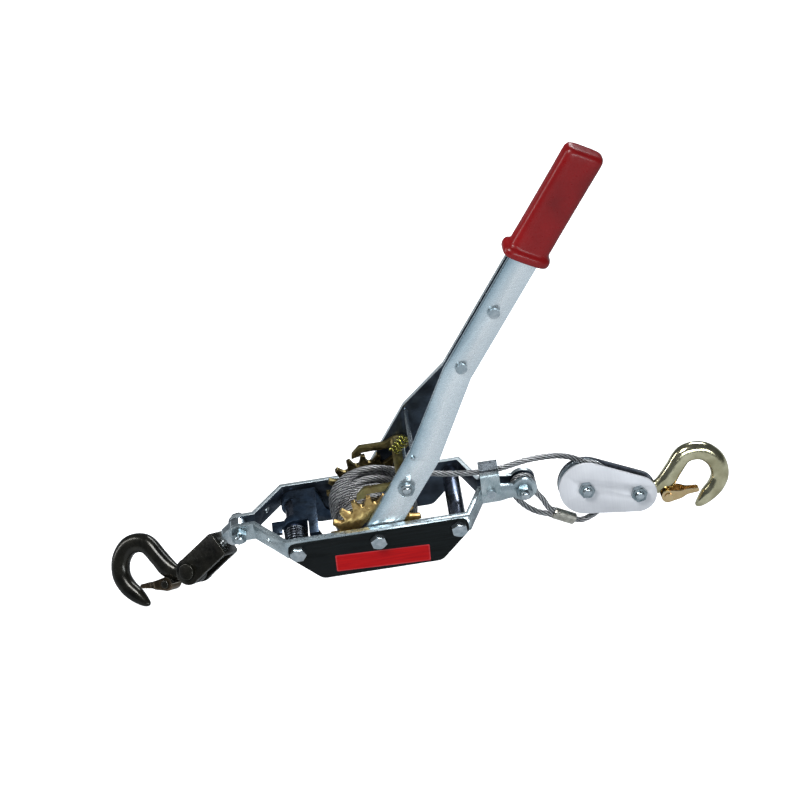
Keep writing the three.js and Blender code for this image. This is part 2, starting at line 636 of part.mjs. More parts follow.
function eyeRun() {
  const around = (degrees) => {
    const angle = degrees * DEG;
    return [ROPE_PIN.x + 9.3 * Math.cos(angle), 0, ROPE_PIN.z + 9.3 * Math.sin(angle)];
  };
  const end = -2 * GAP;
  return wire(ropeCurve([
    atFerrule(end, -FERRULE.strand), atFerrule(end - 3, -FERRULE.strand), [146, -4.4, -27.5],
    [136.2, -2.2, -20], [128.4, 0, -8], around(175), around(135), around(90), around(45), around(5),
    [148, 0, -8], [153.4, -2.2, -16.5], [157.2, -4.6, -24.5],
    atFerrule(end - 3, FERRULE.strand), atFerrule(end, FERRULE.strand),
  ]), ROPE_R, 28);
}

// ---------------------------------------------------------------- assembly
function addFrame(winch) {
  const outside = FRAME_HALF + 0.25 + LABEL + GAP;
  const inside = FRAME_HALF - PLATE - GAP;
  const tail = outside + HEAD;
  piece(winch, 'near_side_plate', 'plateZinc', sidePlate(-1));
  piece(winch, 'far_side_plate', 'plateZinc', sidePlate(1));
  piece(winch, 'near_label', 'blackLabel', labelPlate(-1));
  piece(winch, 'far_label', 'blackLabel', labelPlate(1));
  const cross = [['axle', 0], ['left_cross', -CROSS_X], ['right_cross', CROSS_X]];
  for (const [name, x] of cross) {
    piece(winch, `${name}_bolt`, 'zinc', boltShape(-outside, tail, x));
    piece(winch, `${name}_nut`, 'zinc', nutShape(outside, tail, x));
  }
  piece(winch, 'axle_sleeve', 'zinc', ring(BOLT_BORE, SLEEVE_R, -inside, inside));
  piece(winch, 'left_spacer_tube', 'zinc', ring(BOLT_BORE, 8, -inside, inside, -CROSS_X));
  piece(winch, 'right_spacer_tube', 'zinc', ring(BOLT_BORE, 7.5, -inside, inside, CROSS_X));
  const pins = [['anchor', ANCHOR, LEFT_HALF], ['rope_anchor', ROPE_PIN, RIGHT_HALF]];
  for (const [name, at, half] of pins) {
    const face = half + GAP;
    piece(winch, `${name}_bolt`, 'zinc', join(
      bar(BOLT_R, -face - 10.5, face + 0.1, at.x, at.z),
      hexagon(HEX_FLATS, face, face + HEAD, at.x, at.z),
    ));
    piece(winch, `${name}_nut`, 'zinc', nutShape(-face - 6.5, -face, at.x, at.z));
  }
  piece(winch, 'rope_saddle', 'zinc', saddleShape());
  const saddleFace = SADDLE.half + GAP;
  const saddleBolt = join(
    boltShape(-saddleFace, saddleFace + 1, SADDLE.bolt, SADDLE.z, SADDLE.radius, 8, 3.4),
    hexagon(8, saddleFace, saddleFace + 3.4, SADDLE.bolt, SADDLE.z),
  );
  piece(winch, 'saddle_bolt', 'zinc', saddleBolt);
  piece(winch, 'rope_thimble', 'zinc', thimbleShape());
  piece(winch, 'rope_ferrule', 'zinc', ferruleShape());
  piece(winch, 'rope_upper_run', 'steelRope', upperRun());
  piece(winch, 'rope_lower_run', 'steelRope', lowerRun());
  piece(winch, 'rope_eye', 'steelRope', eyeRun());
  const spring = piece(winch, 'stop_pawl_spring', 'zinc', springShape(9.9, 21, 6, 1.1, 9));
  spring.position.set(-CROSS_X, -24.5, 0);
}

function addDrum(winch) {
  piece(winch, 'drum_tube', 'zinc', ring(DRUM_BORE, DRUM_R, -WHEEL.outer, WHEEL.outer, 0, 0, 32));
  piece(winch, 'near_ratchet_wheel', 'yellowZinc', ratchetWheel(-1));
  piece(winch, 'far_ratchet_wheel', 'yellowZinc', ratchetWheel(1));
  piece(winch, 'rope_coil', 'steelRope', coilShape());
}

function addHandle(winch) {
  const handle = new THREE.Group();
  handle.rotation.y = -HANDLE_ANGLE * DEG;
  winch.add(handle);
  piece(handle, 'near_handle_arm', 'plateZinc', handleArm(-1));
  piece(handle, 'far_handle_arm', 'plateZinc', handleArm(1));
  piece(handle, 'lower_handle_rivet', 'zinc', rivetShape(RIVET_S[0]));
  piece(handle, 'upper_handle_rivet', 'zinc', rivetShape(RIVET_S[1]));
  const face = ARM_OUTER + GAP;
  piece(handle, 'pawl_bolt', 'zinc', join(
    bar(BOLT_R, -face - 5, face + 0.1, PAWL_BOLT_S, 0),
    hexagon(HEX_FLATS, face, face + 4.6, PAWL_BOLT_S, 0),
  ));
  piece(handle, 'pawl_nut', 'zinc', nutShape(-face - 4.2, -face, PAWL_BOLT_S, 0));
  piece(handle, 'handle_grip', 'redGrip', gripShape());
  const reach = ARM_OUTER + 1.5;
  const springPin = bar(SPRING_PIN.radius, -reach, reach, SPRING_PIN.s, SPRING_PIN.across, 12);
  piece(handle, 'spring_pin', 'zinc', springPin);
}

// stands on the drive pawl's web and ends just short of the spring pin
function addPawlSpring(winch) {
  const spring = piece(winch, 'drive_pawl_spring', 'yellowZinc', springShape(4.2, 20, 5, 0.9, 8));
  spring.rotation.set(0, -50 * DEG, -Math.PI / 2, 'YZX');
  spring.position.set(31.8, 0, 71.2);
}

function addHook(parent, prefix, hookFinish, latchFinish, scale = 1) {
  const sized = (shape) => shape.scale([scale, scale, scale]);
  piece(parent, `${prefix}_hook`, hookFinish, sized(hookShape()));
  piece(parent, `${prefix}_hook_rivet`, hookFinish, sized(hookRivetShape()));
  piece(parent, `${prefix}_hook_latch`, latchFinish, sized(latchShape()));
}

function addBlock(winch) {
  const block = new THREE.Group();
  block.position.set(BLOCK.x, 0, BLOCK.z);
  block.rotation.set(BLOCK.roll * DEG, BLOCK.pitch * DEG, 0);
  winch.add(block);
  piece(block, 'near_block_plate', 'whiteZinc', blockPlate(-1));
  piece(block, 'far_block_plate', 'whiteZinc', blockPlate(1));
  const face = CHEEK.outer + GAP;
  for (const [name, x] of [['sheave', 0], ['hook', BLOCK.span]]) {
    const bolt = join(
      bar(BOLT_R, -face - 8.5, face + 0.1, x, 0),
      hexagon(HEX_FLATS, face, face + 4.6, x, 0),
    );
    piece(block, `${name}_bolt`, 'zinc', bolt);
    piece(block, `${name}_nut`, 'zinc', nutShape(-face - 6, -face, x, 0));
  }
  piece(block, 'sheave', 'zinc', sheaveShape());
  const hook = new THREE.Group();
  hook.position.x = BLOCK.span;
  hook.rotation.y = -BLOCK.pitch * DEG;
  block.add(hook);
  addHook(hook, 'load', 'yellowZinc', 'yellowZinc');
  piece(winch, 'rope_turn', 'steelRope', turnRun());
}

function addAnchor(winch) {
  const chain = new THREE.Group();
  chain.position.set(ANCHOR.x, 0, ANCHOR.z);
  chain.rotation.y = (180 - CHAIN.angle) * DEG;
  winch.add(chain);
  piece(chain, 'swivel_tongue', 'zinc', tongueShape());
  const yoke = new THREE.Group();
  yoke.rotation.x = CHAIN.swivel * DEG;
  chain.add(yoke);
  piece(yoke, 'hook_yoke', 'blackSteel', yokeShape());
  piece(yoke, 'yoke_pin', 'blackSteel', yokePinShape());
  piece(yoke, 'cotter_pin', 'zinc', cotterShape());
  const hook = new THREE.Group();
  hook.position.x = CHAIN.pin;
  hook.rotation.y = ANCHOR_HOOK_TURN * DEG;
  yoke.add(hook);
  const turned = new THREE.Group();
  turned.rotation.x = Math.PI;
  hook.add(turned);
  addHook(turned, 'anchor', 'blackSteel', 'bronzeLatch', ANCHOR_HOOK_SCALE);
}

const winch = new THREE.Group();
winch.position.set(AXLE.x, AXLE.y, AXLE.z);
addFrame(winch);
addDrum(winch);
addHandle(winch);
piece(winch, 'drive_pawl', 'yellowZinc', drivePawlShape());
addPawlSpring(winch);
piece(winch, 'stop_pawl', 'blueZinc', stopPawlShape());
addAnchor(winch);
addBlock(winch);

const model = new THREE.Group();
model.add(winch);
export default model;
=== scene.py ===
"""Come-along winch: the visual model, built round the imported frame.

The scene is in metres, +Z up, with the near side towards -Y. The object's own sizes are written in
millimetres and multiplied by MM; the camera's distance, the lights and the floor are in metres.
"""

import json
import math

import bmesh
import bpy
from mathutils import Matrix, Vector


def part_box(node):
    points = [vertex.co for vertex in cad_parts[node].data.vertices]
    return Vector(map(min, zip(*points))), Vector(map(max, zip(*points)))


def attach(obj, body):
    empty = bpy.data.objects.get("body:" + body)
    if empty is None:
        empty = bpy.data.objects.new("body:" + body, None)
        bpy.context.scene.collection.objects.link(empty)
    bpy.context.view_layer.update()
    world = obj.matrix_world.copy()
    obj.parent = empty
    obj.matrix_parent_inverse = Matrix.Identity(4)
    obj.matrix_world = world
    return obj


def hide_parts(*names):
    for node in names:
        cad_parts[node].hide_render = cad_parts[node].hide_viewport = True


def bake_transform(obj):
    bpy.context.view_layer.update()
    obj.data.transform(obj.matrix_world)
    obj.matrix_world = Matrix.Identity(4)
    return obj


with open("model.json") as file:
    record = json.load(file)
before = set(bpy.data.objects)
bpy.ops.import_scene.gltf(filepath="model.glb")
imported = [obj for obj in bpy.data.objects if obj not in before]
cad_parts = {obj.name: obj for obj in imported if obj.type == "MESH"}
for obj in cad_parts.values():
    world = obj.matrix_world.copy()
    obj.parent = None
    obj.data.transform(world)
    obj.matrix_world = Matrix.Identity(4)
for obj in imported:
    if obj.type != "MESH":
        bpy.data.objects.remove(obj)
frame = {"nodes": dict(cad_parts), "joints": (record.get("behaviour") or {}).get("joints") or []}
NODES = frame["nodes"]
JOINTS = {j["name"]: j for j in frame["joints"]}
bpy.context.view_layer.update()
MM = 0.001
AXLE = Vector(JOINTS["handle_swing"]["pos_m"])
HANDLE_ANGLE = math.radians(57.65)
ARM_ALONG = Vector((math.cos(HANDLE_ANGLE), 0, math.sin(HANDLE_ANGLE)))
ARM_ACROSS = Vector((-math.sin(HANDLE_ANGLE), 0, math.cos(HANDLE_ANGLE)))
ARM_HALF_WIDTH = 14.5

# the pulley block's own frame: its origin is the sheave bolt, and X points at the hook bolt
BLOCK_AT = Vector(JOINTS["sheave_spin"]["pos_m"])
HOOK_BOLT = Vector(JOINTS["load_hook_swing"]["pos_m"])
BLOCK_X = (HOOK_BOLT - BLOCK_AT).normalized()
BLOCK_Y = Vector(JOINTS["sheave_spin"]["axis"]).normalized()
BLOCK_Z = BLOCK_X.cross(BLOCK_Y).normalized()
BLOCK_TURN = Matrix((BLOCK_X, BLOCK_Y, BLOCK_Z)).transposed()


def from_axle(x, y, z):
    """the place that is so many millimetres from the drum's axle"""
    return AXLE + Vector((x, y, z)) * MM


# ------------------------------------------------------------------ camera and light
CAMERA_DISTANCE = 2.113
CAMERA_LENS = 108
CAMERA_ROLL = math.radians(8.85)
CAMERA_ELEVATION = math.radians(38)
CAMERA_TARGET = Vector((38.2, 0, 121))
SENSOR_WIDTH = 36
LIGHT_TARGET = (0, 0, 0.12)
FLOOR_HALF = 6.0
FLOOR_DROP = 0.0008


def add_camera():
    back = Vector((0, -math.cos(CAMERA_ELEVATION), math.sin(CAMERA_ELEVATION)))
    level_up = Vector((0, math.sin(CAMERA_ELEVATION), math.cos(CAMERA_ELEVATION)))
    across = Vector((1, 0, 0))
    right = across * math.cos(CAMERA_ROLL) - level_up * math.sin(CAMERA_ROLL)
    up = across * math.sin(CAMERA_ROLL) + level_up * math.cos(CAMERA_ROLL)
    data = bpy.data.cameras.new("camera")
    data.lens = CAMERA_LENS
    data.sensor_width = SENSOR_WIDTH
    data.clip_start = 0.05
    data.clip_end = 50
    camera = bpy.data.objects.new("camera", data)
    target = AXLE + CAMERA_TARGET * MM
    turn = Matrix((right, up, back)).transposed().to_4x4()
    camera.matrix_world = Matrix.Translation(target + back * CAMERA_DISTANCE) @ turn
    bpy.context.scene.collection.objects.link(camera)
    bpy.context.scene.camera = camera


def add_area(name, at, size, power, colour=(1, 1, 1)):
    data = bpy.data.lights.new(name, "AREA")
    data.shape = "RECTANGLE"
    data.size, data.size_y = size
    data.energy = power
    data.color = colour
    light = bpy.data.objects.new(name, data)
    light.location = at
    light.rotation_euler = (Vector(LIGHT_TARGET) - Vector(at)).to_track_quat("-Z", "Y").to_euler()
    bpy.context.scene.collection.objects.link(light)


def split_rays(tree, seen, unseen, kind):
    """one shader where the camera looks straight at it, and another for the light it sends to the object"""
    output = tree.nodes.new("ShaderNodeOutput" + kind)
    mix = tree.nodes.new("ShaderNodeMixShader")
    path = tree.nodes.new("ShaderNodeLightPath")
    tree.links.new(path.outputs["Is Camera Ray"], mix.inputs["Fac"])
    tree.links.new(unseen.outputs[0], mix.inputs[1])
    tree.links.new(seen.outputs[0], mix.inputs[2])
    tree.links.new(mix.outputs[0], output.inputs["Surface"])


def add_studio():
    scene = bpy.context.scene
    scene.view_settings.view_transform = "Standard"
    world = bpy.data.worlds.new("studio")
    scene.world = world
    world.use_nodes = True
    tree = world.node_tree
    tree.nodes.clear()
    seen = tree.nodes.new("ShaderNodeBackground")
    around = tree.nodes.new("ShaderNodeBackground")
    seen.inputs["Color"].default_value = (1, 1, 1, 1)
    around.inputs["Color"].default_value = (0.55, 0.62, 0.70, 1)
    around.inputs["Strength"].default_value = 0.16
    split_rays(tree, seen, around, "World")
    add_area("key", (-0.7, -0.9, 2.0), (0.7, 0.7), 40)
    add_area("front", (0.6, -2.0, 0.7), (1.5, 0.35), 20, (0.90, 0.96, 1))
    add_area("rim", (0.8, 1.4, 1.3), (1.2, 0.4), 26, (0.93, 0.97, 1))
    add_area("side", (-2.0, 0.2, 0.9), (0.3, 1.4), 15)


def add_floor():
    """a pale floor that looks white and throws little light back up into the metal"""
    mesh = bpy.data.meshes.new("floor")
    corners = [(-1, -1), (1, -1), (1, 1), (-1, 1)]
    mesh.from_pydata([(x * FLOOR_HALF, y * FLOOR_HALF, 0) for x, y in corners], [], [(0, 1, 2, 3)])
    floor = bpy.data.objects.new("floor", mesh)
    bpy.context.scene.collection.objects.link(floor)
    floor.location.z = -FLOOR_DROP
    material = bpy.data.materials.new("floor")
    material.use_nodes = True
    tree = material.node_tree
    tree.nodes.clear()
    add = tree.nodes.new("ShaderNodeAddShader")
    paper = tree.nodes.new("ShaderNodeBsdfDiffuse")
    lift = tree.nodes.new("ShaderNodeEmission")
    plain = tree.nodes.new("ShaderNodeBsdfDiffuse")
    paper.inputs["Color"].default_value = (0.9, 0.9, 0.9, 1)
    plain.inputs["Color"].default_value = (0.42, 0.44, 0.46, 1)
    lift.inputs["Strength"].default_value = 0.8
    tree.links.new(paper.outputs[0], add.inputs[0])
    tree.links.new(lift.outputs[0], add.inputs[1])
    split_rays(tree, add, plain, "Material")
    mesh.materials.append(material)


# ------------------------------------------------------------------ materials
class Look:
    """A node material with a Principled shader and a few short helpers."""

    def __init__(self, name, roughness, metallic, coat=0.0, specular=0.5):
        self.material = bpy.data.materials.new(name)
        self.material.use_nodes = True
        self.tree = self.material.node_tree
        self.shader = self.tree.nodes["Principled BSDF"]
        self.shader.inputs["Roughness"].default_value = roughness
        self.shader.inputs["Metallic"].default_value = metallic
        self.shader.inputs["Coat Weight"].default_value = coat
        self.shader.inputs["Coat Roughness"].default_value = 0.12
        self.shader.inputs["Specular IOR Level"].default_value = specular

    def node(self, kind, **values):
        made = self.tree.nodes.new("ShaderNode" + kind)
        for key, value in values.items():
            if hasattr(made, key):
                setattr(made, key, value)
            else:
                made.inputs[key.replace("_", " ")].default_value = value
        return made

    def feed(self, socket, value):
        """join an output to a socket, or set the socket to a plain value"""
        if hasattr(value, "is_output"):
            self.tree.links.new(value, socket)
        else:
            socket.default_value = (*value, 1) if socket.type == "RGBA" else value

    def work(self, kind, operation, *values):
        """the result of a Math or VectorMath node over outputs and plain values"""
        made = self.node(kind, operation=operation)
        for socket, value in zip(made.inputs, values):
            self.feed(socket, value)
        return made.outputs[1 if operation == "DOT_PRODUCT" else 0]

    def reach(self, origin, direction):
        """millimetres from a place along a direction, on the piece as it was made"""
        away = self.work("VectorMath", "SUBTRACT", self.node("TexCoord").outputs["Object"], origin)
        return self.work("VectorMath", "DOT_PRODUCT", away, Vector(direction) / MM)

    def facing(self, direction, start, end):
        """0 to 1 as the surface turns towards a direction of the piece, for painting light or shade on the
        faces that turn one way
        """
        dot = self.work("VectorMath", "DOT_PRODUCT", self.node("TexCoord").outputs["Normal"], direction)
        return self.spread(dot, 0.0, 1.0, start, end)

    def edges(self, radius=0.7):
        """1 on sharp edges and 0 on open faces"""
        rounded = self.node("Bevel", samples=4)
        rounded.inputs["Radius"].default_value = radius * MM
        flat = self.node("NewGeometry").outputs["Normal"]
        dot = self.work("VectorMath", "DOT_PRODUCT", rounded.outputs["Normal"], flat)
        return self.spread(dot, 1.0, 0.0, 0.86, 0.985)

    def painted_edge_highlight(self, base, highlight_colour, amount, radius=0.7):
        """a base colour lifted to a brighter one along the edges, in patches: a painted edge highlight"""
        patches = self.spread(self.noise(0.12), amount * 0.3, amount, 0.35, 0.6)
        return self.blend(self.work("Math", "MULTIPLY", self.edges(radius), patches), base, highlight_colour)

    def noise(self, scale, detail=3.0, roughness=0.55, turn=(0, 0, 0)):
        """noise fixed to the piece, scale in cycles per millimetre, alike all ways or along X, Y and Z"""
        if not isinstance(scale, tuple):
            scale = (scale, scale, scale)
        mapping = self.node("Mapping")
        mapping.inputs["Scale"].default_value = [s / MM for s in scale]
        mapping.inputs["Rotation"].default_value = turn
        made = self.node("TexNoise", Scale=1.0, Detail=detail, Roughness=roughness)
        self.feed(mapping.inputs["Vector"], self.node("TexCoord").outputs["Object"])
        self.feed(made.inputs["Vector"], mapping.outputs["Vector"])
        return made.outputs["Fac"]

    def ramp(self, value, stops):
        made = self.node("ValToRGB")
        elements = made.color_ramp.elements
        while len(elements) < len(stops):
            elements.new(0.5)
        for element, (at, colour) in zip(elements, stops):
            element.position = at
            element.color = (*colour, 1)
        self.feed(made.inputs["Fac"], value)
        return made.outputs["Color"]

    def spread(self, value, low, high, start=0.3, end=0.7):
        """a value between start and end spread over low to high, and held beyond them"""
        made = self.node("MapRange", From_Min=start, From_Max=end, To_Min=low, To_Max=high)
        self.feed(made.inputs["Value"], value)
        return made.outputs["Result"]

    def blend(self, factor, first, second, mode="MIX"):
        made = self.node("Mix", data_type="RGBA", blend_type=mode)
        for socket, value in ((0, factor), (6, first), (7, second)):
            self.feed(made.inputs[socket], value)
        return made.outputs[2]

    def bump(self, height, depth, strength=1.0, under=None):
        made = self.node("Bump", Strength=strength, Distance=depth)
        self.feed(made.inputs["Height"], height)
        if under is not None:
            self.feed(made.inputs["Normal"], under)
        self.feed(self.shader.inputs["Normal"], made.outputs["Normal"])
        return made.outputs["Normal"]

    def colour(self, out):
        self.feed(self.shader.inputs["Base Color"], out)

    def rough(self, out):
        self.feed(self.shader.inputs["Roughness"], out)


def brushed(name, dark, light, roughness, turn=(0, 0, 0), grain=0.00004):
    """Rolled and plated strip: fine lines along the strip, cloudy plating, a few dull spots."""
    look = Look(name, roughness, 0.92)
    lines = look.noise((0.015, 1.6, 1.6), 2.0, turn=turn)
    clouds = look.noise((0.035, 0.05, 0.05), turn=turn)
    specks = look.noise(0.5, 4.0)
    base = look.ramp(clouds, [(0.32, dark), (0.66, light)])
    streaks = look.ramp(lines, [(0.3, (0.78, 0.80, 0.82)), (0.62, (1, 1, 1))])
    # painted highlight: the colour is lifted to a near white along the sharp edges
    look.colour(look.painted_edge_highlight(look.blend(0.6, base, streaks, "MULTIPLY"), (0.86, 0.89, 0.90), 0.8))
    look.rough(look.spread(specks, roughness - 0.05, roughness + 0.12))
    first = look.bump(lines, grain, 0.6)
    look.bump(specks, grain * 0.8, 0.4, first)
    return look.material


def plated(name, dark, light, roughness, tint=None, metallic=0.95):
    """Small plated hardware: mottled passivation with an optional rainbow tint."""
    look = Look(name, roughness, metallic)
    spots = look.noise(0.25, 4.0)
    wide = look.noise(0.06, 2.0)
    base = look.ramp(spots, [(0.3, dark), (0.7, light)])
    if tint is not None:
        base = look.blend(look.spread(wide, 0.0, 0.55, 0.42, 0.66), base, tint)
    # painted highlight: a lighter copy of the plating along the sharp edges
    look.colour(look.painted_edge_highlight(base, tuple(min(c * 1.5 + 0.06, 0.92) for c in light), 0.7, 0.5))
    look.rough(look.spread(wide, roughness - 0.06, roughness + 0.1))
    look.bump(spots, 0.00005, 0.5)
    return look.material


def forged(name, dark, light, roughness, metallic, tint=None, highlight_colour=(0.8, 0.78, 0.66), edge_highlight_amount=0.6):
    """Drop-forged and plated: low waves and fine scale pits under a bright finish, with a painted highlight
    along the edges.
    """
    look = Look(name, roughness, metallic, coat=0.1)
    pits = look.noise(0.4, 4.0, 0.5)
    waves = look.noise(0.07, 2.0)
    base = look.ramp(waves, [(0.3, dark), (0.68, light)])
    if tint is not None:
        base = look.blend(look.spread(pits, 0.0, 0.4, 0.4, 0.7), base, tint)
    look.colour(look.painted_edge_highlight(base, highlight_colour, edge_highlight_amount))
    look.rough(look.spread(pits, roughness - 0.04, roughness + 0.08))
    first = look.bump(waves, 0.0008, 0.35)
    look.bump(pits, 0.00006, 0.35, first)
    return look.material


def strand_steel(name):
    """Bright rope wire: the lay of the single wires from the rope's own UVs, and painted shade in the
    valleys between strands and wires.
    """
    look = Look(name, 0.32, 0.9)
    split = look.node("SeparateXYZ")
    look.feed(split.inputs[0], look.node("UVMap", uv_map="lay").outputs["UV"])
    slant = look.work("Math", "MULTIPLY_ADD", split.outputs["Y"], 6.0, split.outputs["X"])
    wires = look.work("Math", "SINE", look.work("Math", "MULTIPLY", slant, math.tau))
    height = look.spread(wires, 0.0, 1.0, -1.0, 1.0)
    crown = look.node("Attribute", attribute_name="crown").outputs["Fac"]
    stain = look.noise(0.05)
    bright = look.ramp(stain, [(0.3, (0.34, 0.34, 0.35)), (0.7, (0.74, 0.75, 0.76))])
    # painted shade: near black in the valleys between strands, the lit colour on the crowns
    lit = look.blend(look.spread(crown, 0.0, 1.0, 0.35, 0.92), (0.012, 0.011, 0.012), bright)
    # painted shade: darker in the grooves between the single wires
    look.colour(look.blend(height, look.blend(0.7, lit, (0.05, 0.05, 0.055)), lit))
    look.rough(look.spread(stain, 0.26, 0.42))
    look.bump(height, 0.00012, 0.7)
    return look.material


def vinyl(name):
    """Dipped vinyl: glossy, with a faint orange peel and a darker, rubbed tone in places."""
    look = Look(name, 0.3, 0.0, coat=0.08, specular=0.3)
    peel = look.noise(0.35)
    tone = look.noise((0.02, 0.05, 0.02))
    look.colour(look.ramp(tone, [(0.3, (0.13, 0.003, 0.004)), (0.7, (0.23, 0.004, 0.005))]))
    look.rough(look.spread(peel, 0.26, 0.42))
    look.bump(peel, 0.00012, 0.35)
    return look.material


def printed(name, dark, light, roughness=0.42):
    """Printed adhesive film with fine scuffs."""
    look = Look(name, roughness, 0.0, specular=0.12)
    scuffs = look.noise((0.03, 0.9, 0.6), 4.0, turn=(0.3, 0.5, 0.2))
    look.colour(look.ramp(scuffs, [(0.35, dark), (0.75, light)]))
    look.rough(look.spread(scuffs, roughness - 0.06, roughness + 0.16))
    look.bump(scuffs, 0.00002, 0.3)
    return look.material


def painted_shade_plate(name, bright):
    """The far strips: rolled steel painted dark for the shade they sit in, with a painted highlight on the
    faces that turn one way.
    """
    look = Look(name, 0.34, 0.85)
    lines = look.noise((0.015, 1.2, 1.2), 2.0)
    clouds = look.noise((0.04, 0.05, 0.05))
    # painted shade: the dark base colour of the far strips
    dull = look.ramp(clouds, [(0.3, (0.020, 0.026, 0.038)), (0.7, (0.075, 0.10, 0.135))])
    # painted highlight on the faces that turn towards the given direction
    edge = look.facing(bright, 0.55, 0.85)
    highlight_colour = look.ramp(lines, [(0.3, (0.42, 0.49, 0.52)), (0.7, (0.70, 0.76, 0.78))])
    look.colour(look.painted_edge_highlight(look.blend(edge, dull, highlight_colour), (0.55, 0.60, 0.63), 0.6))
    look.rough(look.spread(lines, 0.28, 0.44))
    look.bump(lines, 0.00004, 0.5)
    return look.material


def band_zinc(name):
    """The rope saddle's band: light sides, a top painted dark as shade, fine vertical grain."""
    look = Look(name, 0.24, 0.9)
    lines = look.noise((1.4, 1.4, 0.03), 2.0)
    clouds = look.noise(0.08, 2.0)
    side = look.ramp(clouds, [(0.3, (0.30, 0.40, 0.43)), (0.7, (0.66, 0.74, 0.76))])
    # painted shade: the faces that turn upwards take this darker colour
    top = look.ramp(clouds, [(0.3, (0.03, 0.035, 0.04)), (0.7, (0.16, 0.18, 0.20))])
    base = look.blend(look.facing((0, 0, 1), 0.55, 0.85), side, top)
    look.colour(look.painted_edge_highlight(base, (0.85, 0.88, 0.88), 0.5, 0.5))
    look.rough(look.spread(lines, 0.2, 0.34))
    look.bump(lines, 0.00003, 0.4)
    return look.material


def arm_zinc(name, stops):
    """Bluish plated strip with a painted sheen and shade that change across its width, and a fine lengthwise
    grain.
    """
    look = Look(name, 0.27, 0.9)
    lines = look.noise((0.015, 1.6, 1.6), 2.0, turn=(0, HANDLE_ANGLE, 0))
    clouds = look.noise(0.02)
    specks = look.noise(0.5, 4.0)
    # painted sheen and shade: the colour follows the place across the arm's width
    width = look.spread(look.reach(AXLE, ARM_ACROSS), 0.0, 1.0, -ARM_HALF_WIDTH, ARM_HALF_WIDTH)
    drift = look.work("Math", "MULTIPLY_ADD", clouds, 0.5, width)
    base = look.ramp(look.work("Math", "SUBTRACT", drift, 0.25), stops)
    streaks = look.ramp(lines, [(0.3, (0.80, 0.82, 0.84)), (0.62, (1, 1, 1))])
    look.colour(look.blend(0.6, base, streaks, "MULTIPLY"))
    look.rough(look.spread(specks, 0.24, 0.32))
    look.bump(lines, 0.00003, 0.4)
    return look.material


def satin(name):
    """The block's cheeks: light grey plate with a soft sheen and faint scratches."""
    look = Look(name, 0.5, 0.25, specular=0.3)
    cloud = look.noise(0.03)
    lines = look.noise((1.2, 0.05, 0.02), turn=(0, 0.24, 0))
    base = look.ramp(cloud, [(0.3, (0.56, 0.57, 0.60)), (0.7, (0.66, 0.67, 0.70))])
    scratches = look.ramp(lines, [(0.35, (0.86, 0.86, 0.88)), (0.6, (1, 1, 1))])
    look.colour(look.blend(0.35, base, scratches, "MULTIPLY"))
    look.rough(look.spread(lines, 0.42, 0.56))
    look.bump(lines, 0.00002, 0.3)
    return look.material


